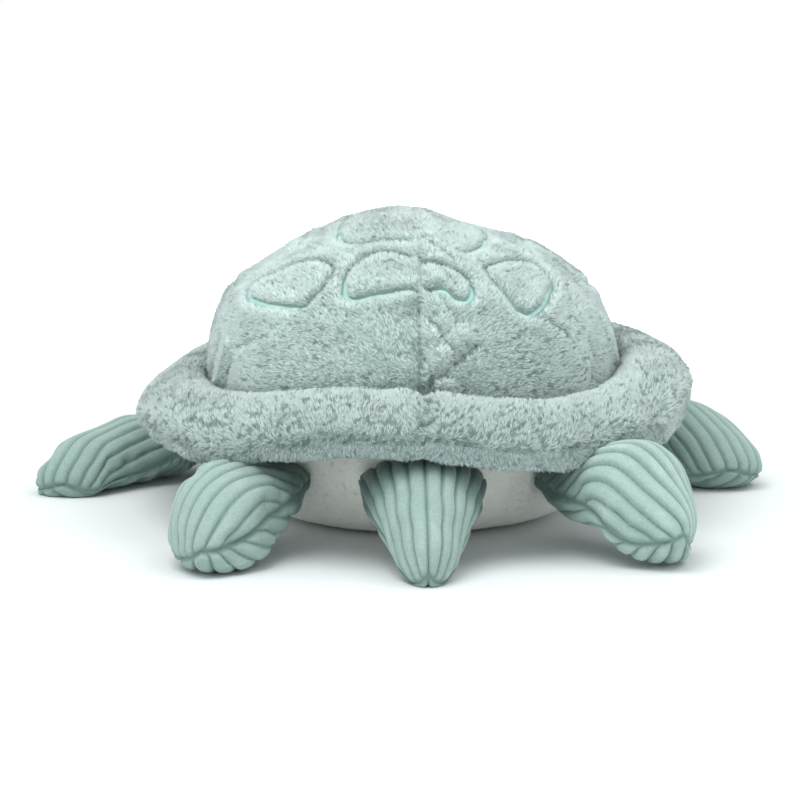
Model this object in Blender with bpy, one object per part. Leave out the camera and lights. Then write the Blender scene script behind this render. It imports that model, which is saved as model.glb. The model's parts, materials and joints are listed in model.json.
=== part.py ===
"""Plush sea turtle: a furry shell with a padded brim, a pale belly, four ribbed flippers, a tail and a head.

Each sewn panel is its own thin solid, and each hollow that the panels close holds its own filling.
The turtle faces +Y and stands at z = 0 on the flat of its belly, whose centre is the origin.
"""

import math

import bmesh
import bpy
from mathutils import Matrix, Vector

# Shell, in metres
SHELL_HALF_WIDTH = 0.125
SHELL_HALF_LENGTH = 0.140
SHELL_TOP = 0.134
BRIM_WIDTH = 0.032
SHELL_SEAM_HEIGHT = 0.0595
BRIM_RISE = 0.0115
BRIM_SAG = 0.0110
BRIM_OUTER_DROP = 0.0105
BRIM_SIDE_DROOP = 0.0025
BRIM_FRONT_LIFT = 0.006

# Belly: the flat is this share of its full width, and the wall above it is a superellipse
BELLY_FLAT_SHARE = 0.60
BELLY_CURVE_POWER = 2.2

# Cloth and clearances
FUR_CLOTH = 0.0030
CORD_CLOTH = 0.0022
SEAM_GAP = 0.0003

# Scute outlines, embroidered in a thick satin stitch
STITCH_RADIUS = 0.0012
# Each row: polar angle from the tail end in degrees, distance from the top as a share of the base,
# half length along that distance and half width across it, both as shares of the base
SIDE_SCUTE_SHARES = {
    "rear": (49.0, 0.745, 0.115, 0.195),
    "side": (92.0, 0.690, 0.150, 0.230),
    "front": (135.0, 0.720, 0.130, 0.200),
}
# Each row: place along the middle seam, half length along it and half width, as shares of the base
MIDDLE_SCUTE_SHARES = {
    "middle_rear": (-0.655, 0.105, 0.310),
    "middle_top": (-0.175, 0.285, 0.320),
    "middle_front": (0.440, 0.220, 0.300),
}
SCUTE_SQUARENESS = 0.80
SEAM_MARGIN = 0.006

# Eyes: a domed button with a shank through the cloth and a washer behind it
EYE_RADIUS = 0.0050
EYE_DOME = 0.0034
EYE_EDGE = 0.0008
SHANK_RADIUS = 0.0016
SHANK_BEYOND_WASHER = 0.0018
SHANK_CLEARANCE = 0.0002
WASHER_RADIUS = 0.0058
WASHER_THICKNESS = 0.0012
POCKET_CLEARANCE = 0.0005
EYE_ROW = 6
EYE_COLUMN = 1

# Fineness of the surfaces, in counts
AROUND = 28
DOME_ROWS = 8
BELLY_ROWS = 6
BRIM_COLUMNS = 6
ROUND_ROWS = 3
LIMB_ROWS = 5
LIMB_COLUMNS = 6
STITCH_POINTS = 16
TURNED_SIDES = 28
EYE_ROWS = 5

# Linear colour, roughness
FINISHES = {
    "mint_fur": ((0.47, 0.60, 0.57), 0.95),
    "mint_cord": ((0.44, 0.58, 0.55), 0.85),
    "cream_plush": ((0.70, 0.68, 0.63), 0.95),
    "mint_satin": ((0.42, 0.72, 0.66), 0.45),
    "fibre_filling": ((0.86, 0.86, 0.84), 1.00),
    "eye_black": ((0.012, 0.012, 0.014), 0.15),
    "washer_plastic": ((0.80, 0.80, 0.78), 0.45),
}

# One limb: where it is sewn on, how long, wide and thick it is, and how it bends.
# Each table of shares runs evenly from the root to the tip. The seam lies below the middle by a
# share of the half thickness.
FRONT_FLIPPER = {
    "root_turn": 38.0,
    "length": 0.1215,
    "half_width": 0.0282,
    "half_thickness": 0.0135,
    "root_half_thickness": 0.0095,
    "root_height": 0.0225,
    "sweep": -110.0,
    "tip_round": 0.013,
    "width_shares": (0.66, 0.86, 0.95, 0.92, 0.80, 0.70),
    "thickness_shares": (0.74, 0.84, 0.98, 1.04, 0.91, 0.66),
    "height_shares": (1.00, 0.92, 0.83, 0.77, 0.60, 0.39),
    "sweep_shares": (0.00, 0.23, 0.47, 0.77, 0.87, 1.00),
    "seam_drop_shares": (0.00, 0.00, 0.00, 0.00, 0.00, 0.00),
}
REAR_FLIPPER = {
    "root_turn": -49.0,
    "length": 0.082,
    "half_width": 0.0240,
    "half_thickness": 0.0170,
    "root_half_thickness": 0.0100,
    "root_height": 0.0280,
    "sweep": -25.0,
    "tip_round": 0.0275,
    "width_shares": (0.76, 0.92, 0.97, 0.96, 0.81, 0.56),
    "thickness_shares": (0.60, 0.74, 0.90, 0.98, 0.94, 0.84),
    "height_shares": (1.00, 0.94, 0.82, 0.68, 0.57, 0.47),
    "sweep_shares": (0.00, 0.35, 0.70, 0.94, 1.00, 1.00),
    "seam_drop_shares": (0.00, 0.15, 0.35, 0.50, 0.55, 0.60),
}
TAIL = {
    "root_turn": -90.0,
    "length": 0.0657,
    "half_width": 0.0256,
    "half_thickness": 0.0130,
    "root_half_thickness": 0.0110,
    "root_height": 0.0300,
    "sweep": 0.0,
    "tip_round": 0.0082,
    "width_shares": (1.04, 1.00, 0.84, 0.64, 0.45, 0.22),
    "thickness_shares": (0.92, 0.96, 1.00, 1.00, 0.88, 0.68),
    "height_shares": (1.00, 1.00, 0.88, 0.66, 0.43, 0.22),
    "sweep_shares": (0.00, 0.20, 0.40, 0.60, 0.80, 1.00),
    "seam_drop_shares": (0.00, 0.20, 0.40, 0.50, 0.50, 0.40),
}
# The head's seam runs upright, so its width shares are its height and its thickness shares its breadth
HEAD = {
    "root_turn": 90.0,
    "length": 0.128,
    "half_width": 0.0310,
    "half_thickness": 0.0345,
    "root_half_thickness": 0.0175,
    "root_height": 0.0240,
    "sweep": 0.0,
    "tip_round": 0.022,
    "width_shares": (0.56, 0.57, 0.71, 0.98, 1.00, 0.78),
    "thickness_shares": (0.62, 0.64, 0.78, 1.00, 0.98, 0.74),
    "height_shares": (1.00, 1.00, 1.12, 1.58, 1.72, 1.52),
    "sweep_shares": (0.00, 0.20, 0.40, 0.60, 0.80, 1.00),
    "seam_drop_shares": (0.00, 0.00, 0.00, 0.00, 0.00, 0.00),
}

DOME_HALF_WIDTH = SHELL_HALF_WIDTH - BRIM_WIDTH
DOME_HALF_LENGTH = SHELL_HALF_LENGTH - BRIM_WIDTH
DOME_HEIGHT = SHELL_TOP - SHELL_SEAM_HEIGHT
FUR_FILL_INSET = FUR_CLOTH + SEAM_GAP
CORD_FILL_INSET = CORD_CLOTH + SEAM_GAP
UP = Vector((0.0, 0.0, 1.0))


def clear_scene():
    for thing in list(bpy.data.objects):
        bpy.data.objects.remove(thing)


def finish(name):
    """The material of that name, made once."""
    found = bpy.data.materials.get(name)
    if found:
        return found
    colour, roughness = FINISHES[name]
    made = bpy.data.materials.new(name)
    made.use_nodes = True
    shader = made.node_tree.nodes["Principled BSDF"]
    shader.inputs["Base Color"].default_value = (*colour, 1.0)
    shader.inputs["Roughness"].default_value = roughness
    shader.inputs["Metallic"].default_value = 0.0
    return made


def place(name, data, material):
    thing = bpy.data.objects.new(name, data)
    thing.data.materials.append(finish(material))
    bpy.context.scene.collection.objects.link(thing)
    return thing


def solid(name, grid, caps, material, turn_back=None):
    """One closed mesh from rows of points. Points of a row that all meet become one vertex.

    Each row runs round a section. From place turn_back on it runs back the other way, and the
    patches are split the other way too, so that two sheets with the same rows stay parallel.
    """
    bm = bmesh.new()
    rows = [[bm.verts.new(point) for point in row] for row in grid]
    turn_back = len(grid[0]) if turn_back is None else turn_back
    for lower, upper in zip(rows, rows[1:]):
        for i in range(len(lower)):
            j = (i + 1) % len(lower)
            if i < turn_back:
                bm.faces.new((lower[i], lower[j], upper[j]))
                bm.faces.new((lower[i], upper[j], upper[i]))
            else:
                bm.faces.new((lower[i], lower[j], upper[i]))
                bm.faces.new((lower[j], upper[j], upper[i]))
    for row in caps:
        bm.faces.new(rows[row])
    bmesh.ops.remove_doubles(bm, verts=bm.verts, dist=SEAM_GAP * 0.01)
    bmesh.ops.recalc_face_normals(bm, faces=bm.faces)
    mesh = bpy.data.meshes.new(name)
    bm.to_mesh(mesh)
    bm.free()
    mesh.shade_smooth()
    mesh.set_sharp_from_angle(angle=math.radians(50))
    return place(name, mesh, material)


def panel(name, outer, inner, material):
    """A thin panel: an outer and an inner sheet of points, joined round their four edges.

    Each section of the panel is one loop: out along the outer row and back along the inner row.
    """
    grid = [list(out) + list(back)[::-1] for out, back in zip(outer, inner)]
    return solid(name, grid, (0, len(grid) - 1), material, len(outer[0]))


def smooth_share(shares, along):
    """The value of an even table at along, 0 to 1, on a smooth curve through its entries."""
    last = len(shares) - 1
    k = min(int(along * last), last - 1)
    t = along * last - k
    before, here = shares[max(k - 1, 0)], shares[k]
    there, after = shares[k + 1], shares[min(k + 2, last)]
    slope_here, slope_there = (there - before) / 2, (after - here) / 2
    return (
        here * (2 * t**3 - 3 * t**2 + 1)
        + slope_here * (t**3 - 2 * t**2 + t)
        + there * (3 * t**2 - 2 * t**3)
        + slope_there * (t**3 - t**2)
    )


# Shell dome and belly, as half axes at a height, drawn in by an inset


def dome_sections(inset):
    """(half width, half length, height) from the shell seam to the top."""
    rows = []
    for k in range(DOME_ROWS + 1):
        turn = math.pi / 2 * k / DOME_ROWS
        reach = math.cos(turn) if k < DOME_ROWS else 0.0
        rows.append(
            (
                (DOME_HALF_WIDTH - inset) * reach,
                (DOME_HALF_LENGTH - inset) * reach,
                SHELL_SEAM_HEIGHT + (DOME_HEIGHT - inset) * math.sin(turn),
            )
        )
    return rows


def belly_reach(height_share):
    """How wide the belly is at a share of the seam height, as a share of the shell seam."""
    rest = (1 - (1 - height_share) ** BELLY_CURVE_POWER) ** (1 / BELLY_CURVE_POWER)
    return BELLY_FLAT_SHARE + (1 - BELLY_FLAT_SHARE) * rest


def belly_sections(inset):
    """(half width, half length, height) from the flat underneath to the shell seam."""
    rows = []
    for k in range(BELLY_ROWS + 1):
        height_share = 1 - math.cos(math.pi / 2 * k / BELLY_ROWS)
        reach = belly_reach(height_share)
        rows.append(
            (
                (DOME_HALF_WIDTH - inset) * reach,
                (DOME_HALF_LENGTH - inset) * reach,
                inset + (SHELL_SEAM_HEIGHT - inset) * height_share,
            )
        )
    return rows


def ring(half_width, half_length, height, turns):
    return [
        Vector((half_width * math.cos(a), half_length * math.sin(a), height))
        for a in turns
    ]


def full_turns():
    return [2 * math.pi * i / AROUND - math.pi / 2 for i in range(AROUND)]


def half_turns():
    """From the tail end to the head end, on the right side."""
    return [math.pi * i / (AROUND // 2) - math.pi / 2 for i in range(AROUND // 2 + 1)]


def to_side(points, side):
    """Moves points of the right half off the middle seam, and mirrors them for the left half."""
    return [
        Vector((side * (max(p.x, 0.0) + SEAM_GAP / 2), p.y, p.z)) for p in points
    ]


def make_dome_cover(name, side):
    outer, inner = [], []
    for sheet, inset in ((outer, 0.0), (inner, FUR_CLOTH)):
        rows = dome_sections(inset)
        rows[0] = (rows[0][0], rows[0][1], rows[0][2] + SEAM_GAP / 2)
        for row in rows:
            sheet.append(to_side(ring(*row, half_turns()), side))
    columns_out = list(zip(*outer))
    columns_in = list(zip(*inner))
    return panel(name, columns_out, columns_in, "mint_fur")


def make_belly_panel():
    outer = belly_sections(0.0)
    inner = belly_sections(FUR_CLOTH)
    top = SHELL_SEAM_HEIGHT - SEAM_GAP / 2
    outer[-1] = (*outer[-1][:2], top)
    inner[-1] = (*inner[-1][:2], top)
    rows = outer + inner[::-1]
    grid = [ring(*row, full_turns()) for row in rows]
    return solid("belly_panel", grid, (0, len(grid) - 1), "cream_plush")


def make_body_filling():
    rows = belly_sections(FUR_FILL_INSET) + dome_sections(FUR_FILL_INSET)[1:]
    grid = [ring(*row, full_turns()) for row in rows]
    return solid("body_filling", grid, (0,), "fibre_filling")


# Brim: a padded ring, each section a lens from the shell seam to its outer seam


def brim_middle(turn, across):
    """Height of the brim's middle surface, which its two seams lie in."""
    droop = BRIM_OUTER_DROP + BRIM_SIDE_DROOP * math.cos(turn) ** 2
    lift = BRIM_FRONT_LIFT * max(math.sin(turn), 0.0) ** 2
    return SHELL_SEAM_HEIGHT - (droop - lift) * across


def brim_section(turn, inset, upward):
    """Points of one section, from the inner seam over or under to the outer seam."""
    bulge = (BRIM_RISE if upward else BRIM_SAG) - inset
    points = []
    for j in range(BRIM_COLUMNS + 1):
        round_turn = math.pi * j / BRIM_COLUMNS
        run = BRIM_WIDTH - SEAM_GAP - 2 * inset
        out = SEAM_GAP + inset + run * (1 - math.cos(round_turn)) / 2
        lift = bulge * math.sin(round_turn) ** 0.8 if 0 < j < BRIM_COLUMNS else 0.0
        lift += SEAM_GAP / 2 if inset < FUR_FILL_INSET else 0.0
        middle = brim_middle(turn, out / BRIM_WIDTH)
        points.append(
            Vector(
                (
                    (DOME_HALF_WIDTH + out) * math.cos(turn),
                    (DOME_HALF_LENGTH + out) * math.sin(turn),
                    middle + (lift if upward else -lift),
                )
            )
        )
    return points


def make_brim_panel(name, side, upward):
    outer = [to_side(brim_section(a, 0.0, upward), side) for a in half_turns()]
    inner = [to_side(brim_section(a, FUR_CLOTH, upward), side) for a in half_turns()]
    return panel(name, outer, inner, "mint_fur")


def make_brim_filling(name, side):
    grid = []
    for turn in half_turns():
        over = brim_section(turn, FUR_FILL_INSET, True)
        under = brim_section(turn, FUR_FILL_INSET, False)
        grid.append(to_side(over + under[-2:0:-1], side))
    return solid(name, grid, (0, len(grid) - 1), "fibre_filling", BRIM_COLUMNS)


# Limbs, tail and head: sewn pillows along a path that bends


class Limb:
    """Where a sewn limb lies: its hinge line, and its sections from root to tip."""

    def __init__(self, shape, side=1, upright_seam=False):
        self.shape = shape
        self.side = side
        self.upright_seam = upright_seam
        turn = math.radians(shape["root_turn"])
        wall = Vector((DOME_HALF_WIDTH * math.cos(turn), DOME_HALF_LENGTH * math.sin(turn), 0))
        out = Vector((math.cos(turn) / DOME_HALF_WIDTH, math.sin(turn) / DOME_HALF_LENGTH, 0))
        self.out = out.normalized()
        along = Vector((-self.out.y, self.out.x, 0))
        reach = self.root_reach(wall.dot(self.out))
        self.hinge = self.out * reach + along * wall.dot(along)
        self.hinge.z = shape["root_height"]
        self.path = self.make_path()

    def root_reach(self, wall):
        """How far out the hinge lies, so that the round root clears the belly and can turn."""
        radius, height = self.shape["root_half_thickness"], self.shape["root_height"]
        reach = 0.0
        for k in range(2 * AROUND + 1):
            up = radius * (k / AROUND - 1)
            level = min((height + up) / SHELL_SEAM_HEIGHT, 1.0)
            round_out = math.sqrt(max(radius**2 - up**2, 0.0))
            reach = max(reach, wall * belly_reach(level) + round_out)
        return reach + SEAM_GAP

    def make_path(self):
        """(distance from the root, x, y, heading) at fine steps along the limb."""
        shape = self.shape
        first = math.atan2(self.out.y, self.out.x)
        point = self.hinge - self.out * shape["root_half_thickness"]
        steps = 8 * LIMB_ROWS
        path = [(0.0, point.x, point.y, first)]
        for k in range(steps):
            share = (k + 0.5) / steps
            bend = math.radians(shape["sweep"]) * smooth_share(shape["sweep_shares"], share)
            step = shape["length"] / steps
            point = point + Vector((math.cos(first + bend), math.sin(first + bend), 0)) * step
            path.append(((k + 1) * step, point.x, point.y, first + bend))
        return path

    def at(self, distance):
        """(centre in plan, heading) at a distance from the root."""
        steps = len(self.path) - 1
        place_along = min(max(distance / self.shape["length"], 0.0), 1.0) * steps
        k = min(int(place_along), steps - 1)
        t = place_along - k
        here, there = self.path[k], self.path[k + 1]
        x, y, heading = (here[i] + (there[i] - here[i]) * t for i in (1, 2, 3))
        return Vector((x, y, 0)), heading

    def stations(self):
        """Distances from the root, closer together where the two ends round off."""
        length = self.shape["length"]
        root, tip = self.shape["root_half_thickness"], self.shape["tip_round"]
        rounds = [math.pi / 2 * k / ROUND_ROWS for k in range(ROUND_ROWS + 1)]
        near = [root * (1 - math.cos(a)) for a in rounds]
        far = [length - tip * (1 - math.cos(a)) for a in rounds]
        between = length - tip - root
        middle = [root + between * k / LIMB_ROWS for k in range(1, LIMB_ROWS)]
        return near + middle + far[::-1]

    def sizes(self, distance, inset):
        """(half width, half thickness, height of the middle) of the section at that distance."""
        shape = self.shape
        share = distance / shape["length"]
        width = shape["half_width"] * smooth_share(shape["width_shares"], share) - inset
        thickness = shape["half_thickness"] * smooth_share(shape["thickness_shares"], share) - inset
        height = shape["root_height"] * smooth_share(shape["height_shares"], share)
        root, tip = shape["root_half_thickness"], shape["tip_round"]
        near = min(max(1 - distance / root, 0.0), 1.0)
        far = min(max(1 - (shape["length"] - distance) / tip, 0.0), 1.0)
        root_round, tip_round = math.sqrt(1 - near**2), math.sqrt(1 - far**2)
        if self.upright_seam:
            return width * root_round * tip_round, thickness * root_round * tip_round, height
        thickness += (root - inset - thickness) * min(2 * near, 1.0)
        return width * tip_round, thickness * root_round * tip_round, height

    def point(self, distance, round_turn, inset, facing, lift):
        """A point of the limb's skin. round_turn runs from 0 to pi, seam to seam, over one panel."""
        width, thickness, height = self.sizes(distance, inset)
        share = distance / self.shape["length"]
        seam_drop = thickness * smooth_share(self.shape["seam_drop_shares"], share)
        height -= seam_drop
        thickness += facing * seam_drop
        moved = inset + distance * (1 - 2 * inset / self.shape["length"])
        centre, heading = self.at(moved)
        sideways = Vector((-math.sin(heading), math.cos(heading), 0))
        across, over = (UP, -sideways) if self.upright_seam else (sideways, UP)
        rise = thickness * max(math.sin(round_turn), 0.0) ** 0.85 + lift
        found = centre + UP * height + across * (width * math.cos(round_turn)) + over * facing * rise
        found.z = max(found.z, inset)
        found.x *= self.side
        return found

    def sheet(self, inset, facing, lift):
        turns = [math.pi * j / LIMB_COLUMNS for j in range(LIMB_COLUMNS + 1)]
        return [[self.point(d, a, inset, facing, lift) for a in turns] for d in self.stations()]


def make_limb(name, limb, panel_names):
    """Two panels, with the filling between them."""
    made = []
    for part_name, facing in zip(panel_names, (1, -1)):
        outer = limb.sheet(0.0, facing, SEAM_GAP / 2)
        inner = limb.sheet(CORD_CLOTH, facing, SEAM_GAP / 2)
        made.append(panel(f"{name}_{part_name}", outer, inner, "mint_cord"))
    over = limb.sheet(CORD_FILL_INSET, 1, 0.0)
    under = limb.sheet(CORD_FILL_INSET, -1, 0.0)
    grid = [top + bottom[-2:0:-1] for top, bottom in zip(over[1:], under[1:])]
    made.append(solid(f"{name}_filling", grid, (0,), "fibre_filling", LIMB_COLUMNS))
    return made


def hang(name, limb, pieces):
    """An empty on the limb's hinge, its X axis along it, carries the pieces from where they are.

    Turning the empty by a positive angle about its own X lifts the limb.
    """
    pivot = bpy.data.objects.new(f"{name}_hinge", None)
    pivot.empty_display_size = limb.shape["root_half_thickness"]
    pivot.location = (limb.hinge.x * limb.side, limb.hinge.y, limb.hinge.z)
    pivot.rotation_euler.z = math.atan2(-limb.out.x * limb.side, limb.out.y)
    bpy.context.scene.collection.objects.link(pivot)
    for piece in pieces:
        piece.parent = pivot
        piece.matrix_parent_inverse = pivot.matrix_basis.inverted()
    print(name, "hinge", pivot.location, "along", pivot.matrix_basis.to_3x3() @ Vector((1, 0, 0)))


# Scute outlines on the dome


def on_dome(x_share, y_share, lift):
    """A point of the dome over a place in plan, raised by lift along the way out."""
    flat = min(x_share**2 + y_share**2, 1.0)
    foot = Vector((DOME_HALF_WIDTH * x_share, DOME_HALF_LENGTH * y_share, SHELL_SEAM_HEIGHT))
    point = foot + UP * DOME_HEIGHT * math.sqrt(1 - flat)
    out = Vector(
        (
            x_share / DOME_HALF_WIDTH,
            y_share / DOME_HALF_LENGTH,
            math.sqrt(1 - flat) / DOME_HEIGHT,
        )
    ).normalized()
    return point + out * lift


def rounded(turn):
    """A point of a squarish oval of half size 1."""
    c, s = math.cos(turn), math.sin(turn)
    return (
        math.copysign(abs(c) ** SCUTE_SQUARENESS, c),
        math.copysign(abs(s) ** SCUTE_SQUARENESS, s),
    )


def side_scute(row, side):
    """A closed outline beside the middle seam."""
    turn, distance, half_long, half_wide = row
    angle = math.radians(turn)
    out = Vector((math.sin(angle), -math.cos(angle)))
    across = Vector((-out.y, out.x))
    points = []
    for i in range(STITCH_POINTS):
        along, wide = rounded(2 * math.pi * i / STITCH_POINTS)
        taper = 1 + 0.25 * along
        spot = out * (distance + half_long * along) + across * half_wide * wide * taper
        points.append(on_dome(side * spot.x, spot.y, STITCH_RADIUS + SEAM_GAP))
    return points, True


def middle_scute(row, side):
    """Half an outline, which stops on each side of the middle seam."""
    place_along, half_long, half_wide = row
    start = SEAM_MARGIN / DOME_HALF_WIDTH
    points = []
    count = STITCH_POINTS // 2 + 1
    for i in range(count):
        along, wide = rounded(math.pi * i / (count - 1) - math.pi / 2)
        x_share = start + (half_wide - start) * along
        y_share = place_along + half_long * wide
        points.append(on_dome(side * x_share, y_share, STITCH_RADIUS + SEAM_GAP))
    return points, False


def thread(name, points, closed):
    """Round thread along a line of points."""
    curve = bpy.data.curves.new(name, "CURVE")
    curve.dimensions = "3D"
    curve.bevel_depth = STITCH_RADIUS
    curve.bevel_resolution = 1
    curve.use_fill_caps = True
    spline = curve.splines.new("POLY")
    spline.points.add(len(points) - 1)
    for slot, point in zip(spline.points, points):
        slot.co = (*point, 1.0)
    spline.use_cyclic_u = closed
    return place(name, curve, "mint_satin")


def make_scutes(side_name, side):
    for place_name, row in SIDE_SCUTE_SHARES.items():
        thread(f"scute_outline_{place_name}_{side_name}", *side_scute(row, side))
    for place_name, row in MIDDLE_SCUTE_SHARES.items():
        thread(f"scute_outline_{place_name}_{side_name}", *middle_scute(row, side))


# Eyes


def standing(spot, out):
    return Matrix.Translation(spot) @ out.to_track_quat("Z", "Y").to_matrix().to_4x4()


def turned(name, profile, spot, out, material):
    """A solid turned about its own axis, from (radius, height) pairs, standing on spot along out."""
    turns = [2 * math.pi * i / TURNED_SIDES for i in range(TURNED_SIDES)]
    grid = [
        [Vector((r * math.cos(a), r * math.sin(a), h)) for a in turns]
        for r, h in profile
    ]
    caps = [k for k in (0, len(profile) - 1) if profile[k][0] > 0]
    made = solid(name, grid, caps, material)
    made.matrix_world = standing(spot, out)
    return made


def cloth_facet(limb, facing):
    """The flat patch of cloth under an eye: (centre, way out, highest outside, lowest inside)."""
    corners = []
    for inset in (0.0, CORD_CLOTH):
        sheet = limb.sheet(inset, facing, SEAM_GAP / 2)
        near, far = sheet[EYE_ROW], sheet[EYE_ROW + 1]
        corners.append([near[EYE_COLUMN], near[EYE_COLUMN + 1], far[EYE_COLUMN + 1], far[EYE_COLUMN]])
    outside, inside = corners
    centre = sum(outside, Vector()) / len(outside)
    out = (outside[2] - outside[0]).cross(outside[3] - outside[1]).normalized()
    out = out if out.x * facing > 0 else -out
    highest = max((p - centre).dot(out) for p in outside)
    lowest = min((p - centre).dot(out) for p in inside)
    return centre, out, highest, lowest


def cut(target, profile, spot, out, name):
    """Cuts a turned hole into target. The cutter stays in the file as a hidden guide."""
    cutter = turned(name, profile, spot, out, "washer_plastic")
    cutter.hide_render = True
    cutter.display_type = "WIRE"
    hole = target.modifiers.new(name, "BOOLEAN")
    hole.operation = "DIFFERENCE"
    hole.solver = "EXACT"
    hole.object = cutter
    return cutter


def make_eye(name, limb, facing, cover, filling):
    """The button outside and the washer inside, and the cutters of the hole and hollow they need."""
    spot, out, highest, lowest = cloth_facet(limb, facing)
    seat = highest + SEAM_GAP
    washer_top = lowest - SEAM_GAP
    washer_bottom = washer_top - WASHER_THICKNESS
    shank_end = washer_bottom - SHANK_BEYOND_WASHER
    crown = seat + EYE_EDGE
    dome = [(EYE_RADIUS * math.cos(a), crown + EYE_DOME * math.sin(a)) for a in quarter_turns()]
    button = [(SHANK_RADIUS, shank_end), (SHANK_RADIUS, seat), (EYE_RADIUS, seat), *dome]
    button.append((0.0, crown + EYE_DOME))
    made = [turned(name, button, spot, out, "eye_black")]
    hole = SHANK_RADIUS + SHANK_CLEARANCE
    washer = (
        (hole, washer_bottom),
        (WASHER_RADIUS, washer_bottom),
        (WASHER_RADIUS, washer_top),
        (hole, washer_top),
    )
    made.append(turned_ring(f"{name}_washer", washer, spot, out, "washer_plastic"))
    hole_profile = ((hole, shank_end), (hole, EYE_RADIUS))
    made.append(cut(cover, hole_profile, spot, out, f"{name}_hole"))
    pocket = WASHER_RADIUS + POCKET_CLEARANCE
    pocket_profile = ((pocket, shank_end - POCKET_CLEARANCE), (pocket, EYE_RADIUS))
    made.append(cut(filling, pocket_profile, spot, out, f"{name}_pocket"))
    return made


def quarter_turns():
    return [math.pi / 2 * k / EYE_ROWS for k in range(EYE_ROWS)]


def turned_ring(name, section, spot, out, material):
    """A turned ring: its section closes on itself and stays clear of the axis."""
    bm = bmesh.new()
    loops = []
    for i in range(TURNED_SIDES):
        a = 2 * math.pi * i / TURNED_SIDES
        loops.append([bm.verts.new((r * math.cos(a), r * math.sin(a), h)) for r, h in section])
    for here, there in zip(loops, loops[1:] + loops[:1]):
        for j in range(len(section)):
            k = (j + 1) % len(section)
            bm.faces.new((here[j], here[k], there[k], there[j]))
    bmesh.ops.recalc_face_normals(bm, faces=bm.faces)
    mesh = bpy.data.meshes.new(name)
    bm.to_mesh(mesh)
    bm.free()
    made = place(name, mesh, material)
    made.matrix_world = standing(spot, out)
    return made


def main():
    clear_scene()
    for side_name, side in (("left", -1), ("right", 1)):
        make_dome_cover(f"dome_cover_{side_name}", side)
        make_brim_panel(f"brim_top_panel_{side_name}", side, True)
        make_brim_panel(f"brim_under_panel_{side_name}", side, False)
        make_brim_filling(f"brim_filling_{side_name}", side)
        make_scutes(side_name, side)
        for limb_name, shape in (("front_flipper", FRONT_FLIPPER), ("rear_flipper", REAR_FLIPPER)):
            limb = Limb(shape, side)
            name = f"{limb_name}_{side_name}"
            hang(name, limb, make_limb(name, limb, ("top_panel", "under_panel")))
    make_belly_panel()
    make_body_filling()
    tail = Limb(TAIL)
    hang("tail", tail, make_limb("tail", tail, ("top_panel", "under_panel")))
    head = Limb(HEAD, upright_seam=True)
    right, left, filling = make_limb("head", head, ("right_panel", "left_panel"))
    eyes = make_eye("eye_right", head, 1, right, filling)
    eyes += make_eye("eye_left", head, -1, left, filling)
    hang("head", head, [right, left, filling, *eyes])


main()
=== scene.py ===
"""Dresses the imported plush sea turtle: furred shell and brim, ribbed limbs, pale belly, stitched scutes.

Everything is in metres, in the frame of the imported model: the turtle faces +Y and stands at z = 0.
"""

import itertools
import json
import math

import bpy
import numpy as np
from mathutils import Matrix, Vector, kdtree

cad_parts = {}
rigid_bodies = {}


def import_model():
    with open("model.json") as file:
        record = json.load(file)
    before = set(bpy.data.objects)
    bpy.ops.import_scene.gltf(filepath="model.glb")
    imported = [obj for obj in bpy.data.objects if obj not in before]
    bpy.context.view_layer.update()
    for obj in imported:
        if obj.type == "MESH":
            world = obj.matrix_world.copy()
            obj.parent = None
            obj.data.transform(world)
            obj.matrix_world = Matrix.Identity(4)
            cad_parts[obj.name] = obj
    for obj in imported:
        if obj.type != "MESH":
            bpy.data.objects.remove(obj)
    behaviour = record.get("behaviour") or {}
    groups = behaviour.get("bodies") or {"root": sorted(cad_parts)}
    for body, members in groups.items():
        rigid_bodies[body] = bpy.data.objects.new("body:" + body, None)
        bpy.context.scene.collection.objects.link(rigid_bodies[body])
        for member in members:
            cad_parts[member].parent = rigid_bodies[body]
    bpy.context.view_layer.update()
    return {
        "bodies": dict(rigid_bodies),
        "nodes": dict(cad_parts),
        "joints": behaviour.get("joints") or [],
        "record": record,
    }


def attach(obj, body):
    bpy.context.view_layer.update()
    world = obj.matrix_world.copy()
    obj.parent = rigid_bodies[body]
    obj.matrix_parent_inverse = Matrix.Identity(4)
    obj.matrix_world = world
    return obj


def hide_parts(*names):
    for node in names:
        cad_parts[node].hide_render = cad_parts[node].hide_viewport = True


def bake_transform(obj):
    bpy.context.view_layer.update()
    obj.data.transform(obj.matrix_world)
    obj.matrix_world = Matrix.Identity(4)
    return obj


# Shell, belly and cloth, as in the part's source
SHELL_HALF_WIDTH = 0.125
SHELL_HALF_LENGTH = 0.140
SHELL_TOP = 0.134
BRIM_WIDTH = 0.032
SHELL_SEAM_HEIGHT = 0.0595
BRIM_RISE = 0.0115
BRIM_SAG = 0.0110
BRIM_OUTER_DROP = 0.0105
BRIM_SIDE_DROOP = 0.0025
BRIM_FRONT_LIFT = 0.006
BELLY_FLAT_SHARE = 0.60
BELLY_CURVE_POWER = 2.2
DOME_HALF_WIDTH = SHELL_HALF_WIDTH - BRIM_WIDTH
DOME_HALF_LENGTH = SHELL_HALF_LENGTH - BRIM_WIDTH
DOME_HEIGHT = SHELL_TOP - SHELL_SEAM_HEIGHT

# Where the limbs are sewn on, as in the part's source
FRONT_FLIPPER = dict(
    root_turn=38.0,
    root_half_thickness=0.0095,
    root_height=0.0225,
    seam_drop_shares=(0.00, 0.00, 0.15, 0.40, 0.55, 0.60),
)
REAR_FLIPPER = dict(
    root_turn=-49.0,
    root_half_thickness=0.0100,
    root_height=0.0280,
    seam_drop_shares=(0.00, 0.15, 0.35, 0.50, 0.55, 0.60),
    wale_angles=(24.0, -20.0),
)
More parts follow.
